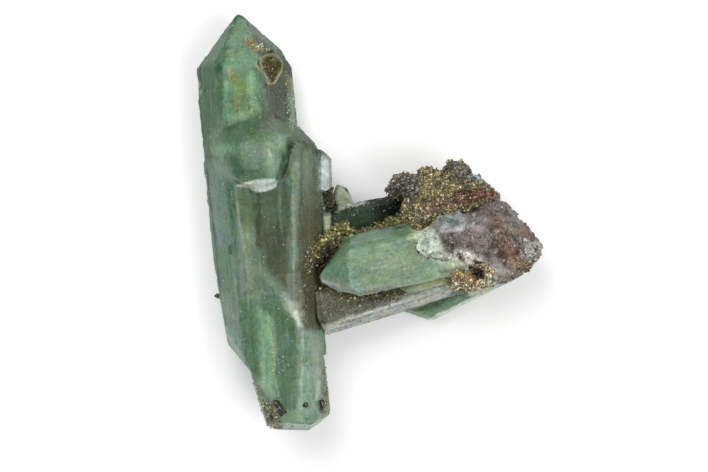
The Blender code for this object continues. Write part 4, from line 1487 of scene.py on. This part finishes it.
@dataclass
class PaleSideCrystal(CrystalPiece):
    """The pale mint crystal with frosted rims and its small yellow-green companion."""

    node: str = "pale_side_crystal"
    name: str = "pale_crystal"
    slot: str = "pale_quartz"
    finish: CloudyQuartz = CloudyQuartz("pale mint quartz", 192.0, cloud=0.7, mottle=0.8, veils=0.3, depth=1.2)
    voxel: float = 0.16
    base: Colour = (0.2, 0.3, 0.2)
    stains_and_shade: tuple[StainAndShade, ...] = (
        StainAndShade(Patch(((340, 240), (360, 230), (412, 224), (422, 234), (352, 250)), 0, 5), (0.115, 0.205, 0.12), 0.95),
        StainAndShade(Patch(((354, 243), (412, 233)), 1.5, 5), (0.13, 0.225, 0.14), 0.7),
        StainAndShade(Patch(((352, 250), (420, 238), (440, 262), (400, 282), (353, 290)), 0, 8), (0.205, 0.285, 0.19), 0.9),
        StainAndShade(Patch(((358, 262), (372, 280)), 7, 12), (0.19, 0.28, 0.185), 0.8),
        StainAndShade(Patch(((380, 262), (404, 262)), 8, 12), (0.255, 0.33, 0.215), 0.7),
        StainAndShade(Patch(((398, 242), (420, 246)), 4, 10), (0.17, 0.27, 0.18), 0.7),
        StainAndShade(Patch(((316, 279), (345, 240), (351, 250), (350, 290)), 0, 5), (0.125, 0.225, 0.14), 0.9),
        StainAndShade(Patch(((322, 278), (346, 287)), 5, 8), (0.2, 0.25, 0.19), 0.85, 0.3),
        StainAndShade(Patch(((314, 279), (352, 295)), 4.0, 4), (0.36, 0.4, 0.36), 0.8, 0.8),
        StainAndShade(Patch(((350, 252), (351, 290)), 1.5, 6), (0.3, 0.4, 0.29), 0.5, 0.2),
        StainAndShade(Patch(((352, 290), (400, 284)), 2.0, 4), (0.23, 0.27, 0.23), 0.65, 0.8),
        StainAndShade(Patch(((350, 296), (398, 290)), 5, 3, facing=SIDE_LOWER), (0.15, 0.165, 0.12), 0.8, 0.8),
        StainAndShade(Patch(((418, 230), (434, 250), (458, 266)), 9, 14, open=True), (0.42, 0.5, 0.37), 0.9, 0.4),
        StainAndShade(Patch(((411, 225), (421, 244), (435, 254), (453, 267), (470, 262), (440, 225)), 1, 8), (0.56, 0.62, 0.48), 0.9, 0.6),
        StainAndShade(Patch(((412, 230), (424, 246), (440, 262)), 1, 3, open=True), (0.6, 0.66, 0.42), 0.7, 1.0),
        # Painted shade: thin dark strokes along the pale crystal's lower and upper outlines.
        StainAndShade(Patch(((317, 279), (336, 290), (353, 294), (400, 287)), 0.3, 1.5, open=True), (0.06, 0.07, 0.055), 0.5),
        StainAndShade(Patch(((317, 278), (345, 241), (362, 232), (410, 225)), 1.2, 3, open=True), (0.04, 0.072, 0.034), 0.7),
        StainAndShade(Patch(((440, 272), (462, 268)), 2, 4), (0.1, 0.09, 0.06), 0.7, 0.5),
        StainAndShade(Patch(((404, 284), (455, 276)), 8, 4, heights=(5.0, 11.4)), (0.285, 0.28, 0.15), 0.9, 0.3),
    )
    heading: float = 192.0
    seed: int = 131
    chips: float = 0.16
    side_shade: float = 0.15
    rounded: tuple[Patch, ...] = (Patch(((352, 247), (420, 237)), 2, 4, ragged=0.1),)
    neighbours: tuple[str, ...] = ("seam_crust", "lower_garnet_crust", "lower_grey_crystal")
    growth: float = 0.2

    def grow_rim(self) -> bpy.types.Object:
        """Grow the whitish and yellowish sugar crystals along the end that roots in the matrix."""
        colours = ((0.5, 0.56, 0.45), (0.6, 0.64, 0.55), (0.5, 0.5, 0.26), (0.4, 0.48, 0.37))
        fine = Crowd(Habit.SHARD, 0.2, 0.09, 0.1, sunk=0.4, colours=colours, shine=0.25)
        coarse = Crowd(Habit.SHARD, 0.26, 0.11, 0.12, sunk=0.5, colours=colours, shine=0.25)
        edge = ((413, 228), (422, 244), (436, 254), (454, 266))
        plots = (
            (Patch(edge, 1.0, 4, open=True), fine, 0.5),
            (Patch(edge + ((470, 262), (440, 225)), -1.0, 4), coarse, 0.45),
            (Patch(((352, 291), (400, 285)), 1.5, 4), fine, 0.3),
        )
        return self.grow("pale_crystal_rim", self.slot, GrainGloss("sugar rim", 0.28, 1.54, 0.1), plots)


@dataclass
class DarkBackCrystal(CrystalPiece):
    """The dark green crystal behind, its own dark green deepened almost to black at its right end as painted shade,
    with a pale translucent tip on it.
    """

    node: str = "dark_back_crystal"
    name: str = "dark_crystal"
    slot: str = "dark_green_quartz"
    finish: CloudyQuartz = CloudyQuartz(
        "dark green quartz", 191.0, cloud=0.5, veils=0.0, flecks=0.4, roughness=0.3, shine=0.02, depth=0.3, milk=(0.2, 0.26, 0.21)
    )
    voxel: float = 0.16
    base: Colour = (0.018, 0.034, 0.018)
    stains_and_shade: tuple[StainAndShade, ...] = (
        StainAndShade(Patch(((330, 228), (336, 212), (368, 206), (372, 222)), 0, 8), (0.036, 0.058, 0.034), 0.95),
        # Painted shade: the right end, under the crystals in front, is darkened almost to black.
        StainAndShade(Patch(((376, 198), (404, 192), (406, 216), (380, 220)), 0, 8), (0.003, 0.006, 0.003), 1.0),
        StainAndShade(Patch(((326, 206), (327, 232)), 3.5, 3), (0.4, 0.49, 0.37), 0.95, 0.1),
        StainAndShade(Patch(((336, 210), (346, 206), (364, 202)), 2, 3, open=True), (0.4, 0.45, 0.4), 0.8, 1.0),
        StainAndShade(Patch(((332, 186), (341, 184), (354, 199), (352, 206), (334, 210)), 0, 3), (0.29, 0.325, 0.225), 1.0, 0.3),
        StainAndShade(Patch(((341, 188), (351, 200)), 2.0, 4), (0.45, 0.48, 0.36), 0.6, 0.4),
        StainAndShade(Patch(((333, 190), (334, 206)), 1.5, 4), (0.1, 0.11, 0.06), 0.7, 0.4),
    )
    heading: float = 191.0
    seed: int = 151
    chips: float = 0.14
    neighbours: tuple[str, ...] = ("main_crystals", "quartz_matrix")
    growth: float = 0.2

    def grow_sugar(self) -> bpy.types.Object:
        """Grow the whitish sugar along the upper ridge and round the pale tip's foot."""
        colours = ((0.5, 0.55, 0.5), (0.62, 0.66, 0.6), (0.34, 0.38, 0.32))
        crowd = Crowd(Habit.SHARD, 0.2, 0.09, 0.1, sunk=0.3, colours=colours)
        plots = (
            (Patch(((337, 210), (350, 206), (364, 202)), 2, 4, open=True), crowd, 0.6),
            (Patch(((364, 203), (402, 197)), 1.5, 4), crowd, 0.15),
            (Patch(((345, 214), (385, 206)), 7, 6), crowd, 0.03),
        )
        return self.grow("sugar_on_dark_crystal", self.slot, GrainGloss("ridge sugar", 0.28, 1.54, 0.1), plots)


@dataclass
class GreyLowerCrystal(CrystalPiece):
    """The grey crystal below, brown and frosted above, where it is also darkened as painted shadow of the pale crystal,
    and whitish and striped along its lower face.
    """

    node: str = "lower_grey_crystal"
    name: str = "grey_crystal"
    slot: str = "grey_quartz"
    finish: CloudyQuartz = CloudyQuartz(
        "grey striped quartz", 197.0, cloud=0.6, mottle=1.4, veils=0.3, flecks=0.9, roughness=0.36, milk=(0.5, 0.52, 0.48)
    )
    voxel: float = 0.17
    base: Colour = (0.12, 0.125, 0.095)
    stains_and_shade: tuple[StainAndShade, ...] = (
        # Brown upper face, darkest just under the pale crystal: the crust's own brown with painted shadow of the pale
        # crystal.
        StainAndShade(Patch(((308, 288), (405, 288), (400, 298), (322, 327), (311, 322)), 0, 5), (0.079, 0.076, 0.046), 0.95, 0.7),
        StainAndShade(Patch(((312, 289), (345, 298), (400, 293)), 0, 6), (0.036, 0.029, 0.011), 0.92, 0.6),
        StainAndShade(Patch(((318, 322), (400, 300)), 3, 6), (0.13, 0.135, 0.1), 0.6, 0.5),
        StainAndShade(Patch(((326, 322), (420, 298)), 6, 4, facing=SIDE_LOWER), (0.1, 0.1, 0.07), 0.9, 0.5),
        StainAndShade(Patch(((322, 331), (380, 313), (445, 292)), 5.5, 4, open=True), (0.4, 0.42, 0.38), 0.95, 0.9),
        StainAndShade(Patch(((340, 324), (436, 294)), 0.6, 2), (0.14, 0.14, 0.12), 0.7, 0.5),
        StainAndShade(Patch(((330, 331), (400, 310)), 0.5, 1.5), (0.2, 0.2, 0.18), 0.7, 0.5),
        StainAndShade(Patch(((350, 318), (440, 290)), 1.0, 2), (0.6, 0.62, 0.6), 0.5, 0.9),
        StainAndShade(Patch(((312, 300), (316, 322)), 4, 5), (0.1, 0.1, 0.08), 0.9, 0.4),
        StainAndShade(Patch(((404, 300), (450, 287)), 4, 6), (0.3, 0.34, 0.29), 0.6, 0.8),
    )
    heading: float = 197.0
    seed: int = 171
    stripes: float = 0.04
    rounded: tuple[Patch, ...] = (Patch(((314, 296), (318, 326)), 7, 5, ragged=0.1),)
    neighbours: tuple[str, ...] = ("main_crystals", "quartz_matrix", "lower_garnet_crust", "green_blade_crystal")
    growth: float = 0.25

    def grow_crust(self) -> bpy.types.Object:
        """Grow the thin brown crust on the upper face, in the shade of the pale crystal."""
        colours = ((0.13, 0.1, 0.03), (0.05, 0.04, 0.016), (0.25, 0.2, 0.06), (0.09, 0.07, 0.03), (0.36, 0.34, 0.2))
        crowd = Crowd(Habit.GARNET, 0.24, 0.12, 0.13, colours=colours, shine=0.4)
        glints = Crowd(Habit.SHARD, 0.3, 0.07, 0.09, colours=((0.6, 0.62, 0.56), (0.4, 0.42, 0.36)))
        plots = (
            (Patch(((312, 287), (345, 298), (404, 293)), 4.8, 5, open=True), crowd, 0.8),
            (Patch(((330, 310), (390, 302)), 6, 5), crowd, 0.12),
            (Patch(((340, 324), (440, 293)), 4, 4), glints, 0.25),
            (Patch(((312, 292), (322, 296)), 3, 4), glints, 0.5),
        )
        return self.grow("brown_crust_on_grey", "garnet_grains", GrainGloss("thin brown crust"), plots)


@dataclass
class GreenBlade(CrystalPiece):
    """The flat green blade with white fibrous streaks and a light lower edge."""

    node: str = "green_blade_crystal"
    name: str = "green_blade"
    slot: str = "blade_quartz"
    finish: CloudyQuartz = CloudyQuartz("streaked green quartz", 206.6, cloud=0.5, veils=0.8, depth=1.0)
    voxel: float = 0.16
    base: Colour = (0.12, 0.2, 0.125)
    stains_and_shade: tuple[StainAndShade, ...] = (
        StainAndShade(Patch(((404, 312), (430, 319), (458, 300), (450, 292)), 0, 5), (0.12, 0.205, 0.115), 0.9),
        StainAndShade(Patch(((440, 312), (470, 299), (462, 292)), 0, 6), (0.15, 0.25, 0.15), 0.8),
        StainAndShade(Patch(((430, 321), (505, 285)), 2.0, 3), (0.58, 0.68, 0.6), 0.85, 0.4),
        StainAndShade(Patch(((474, 293), (508, 280)), 5, 5), (0.42, 0.46, 0.4), 0.8, 0.8),
        StainAndShade(Patch(((410, 312), (430, 300)), 1.0, 3), (0.34, 0.4, 0.34), 0.5, 0.5),
    )
    heading: float = 206.6
    seed: int = 191
    neighbours: tuple[str, ...] = ("lower_grey_crystal", "quartz_matrix", "lower_garnet_crust")


@dataclass
class BrokenMatrix:
    """The broken purple-red quartz that the side crystals root in."""

    node: str = "quartz_matrix"
    name: str = "purple_red_matrix"
    slot: str = "purple_red_quartz"
    voxel: float = 0.17
    seed: int = 211
    base: Colour = (0.19, 0.15, 0.13)
    stains_and_shade: tuple[StainAndShade, ...] = (
        StainAndShade(Patch(((455, 215), (490, 205), (512, 222), (515, 262), (470, 262), (456, 240)), 0, 12), (0.215, 0.175, 0.15)),
        StainAndShade(Patch(((485, 200), (505, 210), (522, 224)), 0, 10), (0.18, 0.165, 0.15), 0.85),
        StainAndShade(Patch(((496, 222), (504, 240)), 5, 7), (0.32, 0.2, 0.16), 0.8),
        StainAndShade(Patch(((504, 246), (514, 258)), 6, 7), (0.32, 0.18, 0.13), 0.8),
        StainAndShade(Patch(((522, 232), (532, 240)), 4, 6), (0.22, 0.11, 0.08), 0.7),
        StainAndShade(Patch(((440, 212), (482, 203)), 2, 4), (0.11, 0.055, 0.045), 0.8),
        StainAndShade(Patch(((421, 212), (450, 206), (472, 210), (468, 232), (440, 235), (424, 228)), 0, 6), (0.34, 0.32, 0.33), 0.9),
        StainAndShade(Patch(((432, 216), (452, 212), (462, 220), (456, 228), (438, 230)), 0, 5), (0.28, 0.32, 0.31), 0.85),
        StainAndShade(Patch(((446, 220), (455, 222)), 3, 4), (0.11, 0.17, 0.15), 0.9),
        StainAndShade(Patch(((406, 222), (424, 220), (438, 234), (442, 250), (462, 260), (454, 274), (420, 262)), 0, 5),
              (0.54, 0.62, 0.51), 1.0),
        StainAndShade(Patch(((437, 232), (452, 232), (462, 246), (458, 256), (444, 250)), 0, 5), (0.1, 0.085, 0.07), 0.95),
        StainAndShade(Patch(((436, 232), (462, 229)), 1.0, 3), (0.6, 0.6, 0.6), 0.8),
        StainAndShade(Patch(((458, 254), (480, 262)), 5, 6), (0.78, 0.76, 0.7), 0.95),
        StainAndShade(Patch(((470, 215), (474, 222)), 3, 5), (0.3, 0.28, 0.29), 0.6),
        StainAndShade(Patch(((524, 240), (540, 248), (532, 262), (520, 256)), 0, 4), (0.42, 0.42, 0.37), 0.85),
        StainAndShade(Patch(((484, 262), (498, 264), (497, 278), (484, 275)), 0, 4), (0.47, 0.39, 0.36), 0.9),
        StainAndShade(Patch(((498, 268), (511, 272)), 3, 4), (0.42, 0.44, 0.38), 0.8),
        StainAndShade(Patch(((516, 266), (534, 264)), 4, 4), (0.42, 0.34, 0.13), 0.85),
        StainAndShade(Patch(((472, 222), (486, 236)), 4, 10), (0.3, 0.28, 0.28), 0.5),
        StainAndShade(Patch(((476, 206), (500, 214)), 3, 7), (0.1, 0.085, 0.075), 0.6),
        StainAndShade(Patch(((492, 240), (500, 256)), 3, 6), (0.12, 0.07, 0.055), 0.6),
    )
    haze: Patch = Patch(((420, 212), (452, 206), (470, 212), (466, 230), (440, 234), (424, 226)), 0, 5)
    sugar: Patch = Patch(((408, 224), (424, 221), (438, 234), (442, 250), (460, 261), (452, 272), (422, 260)), 1, 5)
    skin: Skin = field(init=False)

    def shape(self, forms: dict[str, PackedForm]) -> None:
        """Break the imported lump's surface into blocks, crumbs and sugary grains.

        Args:
            forms: Every packed form by its node's name.
        """
        self.skin = Skin(forms[self.node], self.voxel)
        points = self.skin.points.copy()
        _, ways = forms[self.node].nearest(points)
        tint = np.tile(np.array(self.base), (len(points), 1))
        for stain_and_shade in self.stains_and_shade:
            tint = blended(tint, stain_and_shade.colour, stain_and_shade.patch.share(points, ways) * stain_and_shade.strength)
        blocks, cracks = broken_blocks(points, 2.3, self.seed, 0.34, 0.5)
        crumbs, chinks = broken_blocks(points, 0.8, self.seed + 7, 0.1, 0.45)
        smooth = 1.0 - 0.88 * np.maximum(self.haze.share(points, ways), self.sugar.share(points, ways))
        relief = (blocks + crumbs - cracks * 0.04 + soft_noise(points, 0.3, self.seed + 5) * 0.05) * smooth
        # Painted shade: the cracks and chinks between blocks are marked for darkening in the finish.
        self.skin.values = {"tint": tint, "hollow_shade": np.maximum(cracks * 0.3, chinks * 0.35) * smooth}
        self.skin.push(relief)
        self.skin.meet([form for name, form in forms.items() if name != self.node])

    def dress(self) -> bpy.types.Object:
        """Make the piece, with its finish, in its node's place."""
        material = SugarQuartz("purple red sugary quartz").material()
        piece = make_piece(self.name, self.skin.finished_mesh(self.name, smooth=False), material)
        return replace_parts(piece, self.node)

    def grow_shards(self) -> bpy.types.Object:
        """Grow broken quartz shards over the matrix, in the colours of the place where they stand."""
        white = ((0.5, 0.49, 0.46), (0.36, 0.33, 0.32), (0.22, 0.11, 0.08), (0.08, 0.06, 0.055), (0.3, 0.22, 0.2))
        rust = ((0.2, 0.1, 0.05), (0.2, 0.13, 0.06), (0.08, 0.045, 0.02), (0.13, 0.05, 0.035), (0.3, 0.26, 0.2))
        pure = ((0.52, 0.58, 0.48), (0.62, 0.67, 0.58), (0.44, 0.52, 0.41), (0.5, 0.5, 0.32))
        points, ways, tints = self.skin.points, self.skin.normals(), self.skin.values["tint"]
        grains = Grains(self.seed)
        small = Crowd(Habit.SHARD, 0.28, 0.14, 0.15, sunk=0.3, colours=white, strays=0.35, shine=0.4)
        large = Crowd(Habit.SHARD, 0.6, 0.27, 0.3, sunk=0.4, colours=white, strays=0.3, shine=0.35)
        patchy = ramp(soft_noise(points, 1.4, 33), -0.6, 0.3)
        bare = 1.0 - self.haze.share(points, ways)
        grains.grow(small, points, ways, patchy * bare * 0.45, tints)
        grains.grow(large, points, ways, patchy * bare * 0.16, tints)
        for corners, reach in ((((496, 222), (504, 240)), 5), (((504, 246), (514, 258)), 6), (((512, 262), (530, 270)), 7)):
            crowd = Crowd(Habit.GARNET, 0.26, 0.13, 0.14, colours=rust)
            grains.grow(crowd, points, ways, Patch(corners, reach, 6).share(points, ways) * 0.6)
        sugar = Crowd(Habit.SHARD, 0.26, 0.11, 0.12, sunk=0.5, colours=pure, shine=0.22)
        grains.grow(sugar, points, ways, self.sugar.share(points, ways) * 0.45)
        bits = Crowd(Habit.SHARD, 0.3, 0.19, 0.22, sunk=0.1, colours=white[:2] + pure[:1] + white[3:4], shine=0.35)
        share = Patch(((524, 240), (540, 248), (532, 262), (520, 256)), 0, 4).share(points, ways) * 0.8
        grains.grow(bits, points, ways, share)
        finish = GrainGloss("quartz shards", 0.26, 1.54, 0.2).material()
        return make_piece("matrix_shards", grains.finished_mesh("matrix_shards"), finish)


@dataclass
class GranularCrust:
    """A lump of small grains grown together: a knobbly core, darkened as painted shade between the grains, and a crowd
    of crystals on it.
    """

    node: str
    name: str
    slot: str
    seed: int
    base: Colour
    stains_and_shade: tuple[StainAndShade, ...]
    crowds: tuple[Crowd, ...]
    densities: tuple[float, ...]
    voxel: float = 0.26
    lump: float = 0.8
    lump_height: float = 0.25
    dents: tuple[Dent, ...] = ()
    skin: Skin = field(init=False)
    depths: np.ndarray = field(init=False)

    def shape(self, forms: dict[str, PackedForm]) -> None:
        """Make the core, knobbly and with painted shade in its dips.

        Args:
            forms: Every packed form by its node's name.
        """
        self.skin = Skin(forms[self.node], self.voxel)
        points = self.skin.points.copy()
        _, ways = forms[self.node].nearest(points)
        tint = np.tile(np.array(self.base), (len(points), 1))
        for stain_and_shade in self.stains_and_shade:
            tint = blended(tint, stain_and_shade.colour, stain_and_shade.patch.share(points, ways) * stain_and_shade.strength)
        lumps = np.linalg.norm(crystal_cells(points, self.lump, self.seed)[0], axis=1)
        knobs = np.linalg.norm(crystal_cells(points, self.lump * 0.45, self.seed + 11)[0], axis=1)
        relief = (0.45 - lumps) * self.lump_height * 2.0 + (0.45 - knobs) * self.lump_height
        relief += layered_noise(points, 2.2, self.seed + 2) * self.lump_height
        hollow_shade = np.maximum(ramp(lumps, 0.45, 0.85), ramp(knobs, 0.4, 0.8))
        tint *= np.exp(0.75 * layered_noise(points, 0.9, self.seed + 6))[:, None]
        # Painted shade: the core is darkened everywhere, most of all in the dips between lumps, so that the gaps
        # between grains look shadowed.
        self.skin.values = {"tint": tint, "hollow_shade": np.maximum(hollow_shade, 0.6)}
        self.depths = hollow_shade
        self.skin.push(relief)
        for dent in self.dents:
            self.skin.points[:, 2] -= dent.patch.share(points, ways) * dent.depth
        self.skin.meet([form for name, form in forms.items() if name != self.node])

    def dress(self) -> bpy.types.Object:
        """Make the core, with its finish, in its node's place."""
        material = SugarQuartz(f"{self.name} core", 0.5, 0.15, milk=(0.1, 0.08, 0.05)).material()
        piece = make_piece(self.name, self.skin.finished_mesh(self.name), material)
        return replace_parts(piece, self.node)

    def grow_grains(self) -> bpy.types.Object:
        """Grow the crowds of crystals over the core."""
        grains = Grains(self.seed)
        ways = self.skin.normals()
        # Painted light and shade: grains in the dips are darkened and grains on the lumps brightened.
        lift = 1.5 - 1.2 * self.depths
        tints = self.skin.values["tint"] * lift[:, None] * 1.1
        # Few grains grow where the core is painted near black, as in the painted shade of the seam.
        lit = ramp(self.skin.values["tint"].max(axis=1), 0.002, 0.02)
        for crowd, density in zip(self.crowds, self.densities):
            grains.grow(crowd, self.skin.points, ways, lit * density, tints)
        name = f"{self.name}_grains"
        return make_piece(name, grains.finished_mesh(name), GrainGloss(name).material())


def upper_crust() -> GranularCrust:
    """The garnet crust on top of the matrix: purple-grey at the left, brick red low at the right."""
    stray = ((0.34, 0.33, 0.28), (0.24, 0.19, 0.07), (0.03, 0.025, 0.015), (0.16, 0.13, 0.05), (0.09, 0.08, 0.075))
    glint = ((0.72, 0.7, 0.6), (0.6, 0.54, 0.36), (0.42, 0.34, 0.14), (0.02, 0.015, 0.01))
    return GranularCrust(
        node="garnet_crust",
        name="upper_crust",
        slot="garnet_grains",
        seed=231,
        base=(0.17, 0.135, 0.06),
        stains_and_shade=(
            StainAndShade(Patch(((384, 188), (392, 174), (416, 174), (420, 192), (404, 200)), 0, 7), (0.085, 0.083, 0.077)),
            StainAndShade(Patch(((395, 177), (450, 171)), 3, 5), (0.16, 0.13, 0.06), 0.6),
            StainAndShade(Patch(((425, 182), (455, 180)), 9, 8), (0.222, 0.183, 0.077), 0.85),
            StainAndShade(Patch(((455, 168), (466, 176)), 6, 6), (0.11, 0.1, 0.08), 0.85),
            StainAndShade(Patch(((458, 199), (494, 191)), 6.5, 4), (0.13, 0.044, 0.025), 1.0),
            StainAndShade(Patch(((425, 208), (458, 200)), 5, 6), (0.25, 0.15, 0.1), 0.8),
            StainAndShade(Patch(((405, 205), (420, 216)), 8, 6), (0.25, 0.21, 0.12), 0.8),
            StainAndShade(Patch(((480, 180), (488, 187)), 4, 4), (0.17, 0.165, 0.07), 0.7),
            StainAndShade(Patch(((472, 177), (480, 181)), 3.5, 2), (0.2, 0.25, 0.235), 1.0),
        ),
        crowds=(
            Crowd(Habit.GARNET, 0.33, 0.15, 0.16, colours=stray, strays=0.15, shine=0.6),
            Crowd(Habit.SHARD, 0.36, 0.15, 0.18, colours=stray, strays=0.2, shine=0.6, sunk=-0.4),
            Crowd(Habit.NEEDLE, 0.5, 0.13, 0.2, colours=stray, strays=0.35, shine=0.5, wildness=0.6),
            Crowd(Habit.SHARD, 0.42, 0.11, 0.13, colours=glint, strays=0.6, shine=0.35, sunk=-0.2),
        ),
        densities=(0.8, 0.75, 0.6, 0.5),
        voxel=0.22,
    )


def lower_crust() -> GranularCrust:
    """The brown-orange crust under the matrix's front, with a pressed-in dip painted near black as shade."""
    stray = ((0.34, 0.3, 0.18), (0.26, 0.14, 0.06), (0.05, 0.04, 0.02), (0.4, 0.4, 0.33))
    return GranularCrust(
        node="lower_garnet_crust",
        name="lower_crust",
        slot="brown_garnet_grains",
        seed=251,
        base=(0.46, 0.37, 0.21),
        stains_and_shade=(
            StainAndShade(Patch(((456, 274), (470, 280)), 6, 6), (0.42, 0.24, 0.11), 0.8),
            StainAndShade(Patch(((450, 266), (458, 274)), 4, 5), (0.46, 0.42, 0.15), 0.8),
            StainAndShade(Patch(((452, 284), (470, 288)), 4, 5), (0.42, 0.4, 0.26), 0.7),
            StainAndShade(Patch(((484, 280), (498, 280)), 4, 5), (0.45, 0.44, 0.36), 0.7),
            # Painted shade: the pressed-in dip is painted near black.
            StainAndShade(Patch(((466, 264), (478, 263), (484, 270), (483, 279), (475, 280), (469, 272)), 0, 3), (0.024, 0.018, 0.009), 1.0),
        ),
        crowds=(
            Crowd(Habit.GARNET, 0.26, 0.12, 0.13, colours=stray, strays=0.3, shine=0.55),
            Crowd(Habit.SHARD, 0.34, 0.14, 0.17, colours=stray, strays=0.4, shine=0.55, sunk=-0.3),
        ),
        densities=(0.9, 0.7),
        voxel=0.2,
        lump=0.65,
        dents=(Dent(Patch(((468, 265), (478, 265), (482, 271), (481, 278), (476, 278), (470, 272)), 0, 3), 1.2),),
    )


def seam_crust() -> GranularCrust:
    """The mustard crust of short upright crystals in the seam between the green crystals."""
    stray = ((0.27, 0.24, 0.06), (0.4, 0.37, 0.16), (0.045, 0.045, 0.014), (0.17, 0.16, 0.045), (0.02, 0.018, 0.006))
    return GranularCrust(
        node="seam_crust",
        name="seam_crust_core",
        slot="yellow_green_grains",
        seed=271,
        base=(0.095, 0.091, 0.034),
        stains_and_shade=(
            StainAndShade(Patch(((316, 250), (340, 234)), 8, 7), (0.15, 0.142, 0.048), 0.9),
            StainAndShade(Patch(((345, 232), (412, 220)), 6, 5), (0.165, 0.155, 0.05), 0.85),
            # Painted shade: a near-black zone in the deep seam between the front crystal and the pale crystal's tip.
            StainAndShade(Patch(((303, 264), (318, 262), (326, 244), (334, 252), (322, 276), (308, 288)), 1, 5), (0.0125, 0.011, 0.005)),
            StainAndShade(Patch(((310, 288), (400, 294)), 6, 6), (0.058, 0.05, 0.02), 0.9),
        ),
        crowds=(
            Crowd(Habit.NEEDLE, 0.34, 0.17, 0.25, colours=stray, strays=0.1, shine=0.45, wildness=0.6),
            Crowd(Habit.GARNET, 0.31, 0.16, 0.17, colours=stray, strays=0.1, shine=0.45, sunk=-0.2),
        ),
        densities=(0.7, 0.85),
        voxel=0.2,
        lump=0.7,
    )


@dataclass
class Studio:
    """The pale floor, the soft lights and the camera over the cluster."""

    camera_spot: Spot = (-1.8805, -1.9586)
    camera_height: float = 458.0
    lens: float = 169.5
    floor_half: float = 2.5
    floor_colour: Colour = (0.9, 0.9, 0.9)

    def lay_floor(self) -> None:
        """Lay a wide pale floor."""
        bm = bmesh.new()
        bmesh.ops.create_grid(bm, x_segments=1, y_segments=1, size=self.floor_half)
        mesh = bpy.data.meshes.new("floor")
        bm.to_mesh(mesh)
        bm.free()
        board = Board("pale floor")
        grain = board.noise(board.millimetres(), 0.05, 3.0)
        colour = board.mix(grain.rise(0.3, 0.7) * 0.2, self.floor_colour, (0.9, 0.9, 0.9))
        mesh.materials.append(board.surface({"Base Color": colour, "Roughness": 0.7, "Emission Strength": 0.15}))
        floor = bpy.data.objects.new("floor", mesh)
        bpy.context.scene.collection.objects.link(floor)
        floor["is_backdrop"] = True

    def light(self) -> None:
        """Hang a large soft light behind the tips, a fill beside it, and a bright sky."""
        self._softbox("key", (-0.16, 0.24, 0.45), 0.34, 1.5)
        self._softbox("fill", (0.24, -0.14, 0.42), 0.3, 1.1)
        world = bpy.data.worlds.new("bright room")
        bpy.context.scene.world = world
        world.use_nodes = True
        background = world.node_tree.nodes["Background"]
        background.inputs["Color"].default_value = (1.0, 1.0, 1.0, 1.0)
        background.inputs["Strength"].default_value = 0.45

    def _softbox(self, name: str, place: Way, size: float, power: float) -> None:
        """Hang one square light that faces the cluster."""
        lamp = bpy.data.lights.new(name, "AREA")
        lamp.shape = "SQUARE"
        lamp.size = size
        lamp.energy = power
        holder = bpy.data.objects.new(name, lamp)
        holder.location = place
        holder.rotation_mode = "QUATERNION"
        holder.rotation_quaternion = (-Vector(place)).to_track_quat("-Z", "Y")
        bpy.context.scene.collection.objects.link(holder)

    def set_camera(self) -> None:
        """Set the camera straight over the cluster, with the tall crystal's tip up in the picture."""
        camera = bpy.data.cameras.new("camera")
        camera.lens = self.lens
        camera.sensor_width = 36.0
        camera.clip_start, camera.clip_end = 0.01, 10.0
        holder = bpy.data.objects.new("camera", camera)
        across, up = self.camera_spot
        holder.location = (across / MM_PER_METRE, up / MM_PER_METRE, self.camera_height / MM_PER_METRE)
        bpy.context.scene.collection.objects.link(holder)
        bpy.context.scene.camera = holder
        bpy.context.scene.view_settings.view_transform = "Standard"


def write_sizes() -> None:
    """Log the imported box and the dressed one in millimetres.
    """
    boxes = {"cad": PACKED_BOX, "visual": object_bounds()}
    plain = {name: [list(corner) for corner in box] for name, box in boxes.items()}
    for name, box in plain.items():
        LOG.info("%s box: %s to %s", name, *([round(value * MM_PER_METRE, 2) for value in end] for end in box))


def main() -> None:
    """Build and dress every sub-assembly in order."""
    logging.basicConfig(level=logging.INFO, format="%(name)s %(message)s")
    studio = Studio()
    studio.lay_floor()
    studio.light()
    studio.set_camera()
    forms = {node: PackedForm(node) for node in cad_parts}
    main_crystals = MainCrystals()
    crystals = (main_crystals, PaleSideCrystal(), DarkBackCrystal(), GreyLowerCrystal(), GreenBlade())
    for crystal in crystals:
        crystal.shape(forms)
        crystal.dress()
    main_crystals.dress_flange()
    main_crystals.grow_grains()
    main_crystals.grow_dark_crystals()
    crystals[1].grow_rim()
    crystals[2].grow_sugar()
    crystals[3].grow_crust()
    matrix = BrokenMatrix()
    matrix.shape(forms)
    matrix.grow_shards()
    matrix.dress()
    for crust in (upper_crust(), lower_crust(), seam_crust()):
        crust.shape(forms)
        crust.grow_grains()
        crust.dress()
    write_sizes()


if __name__ == "__main__":
    main()
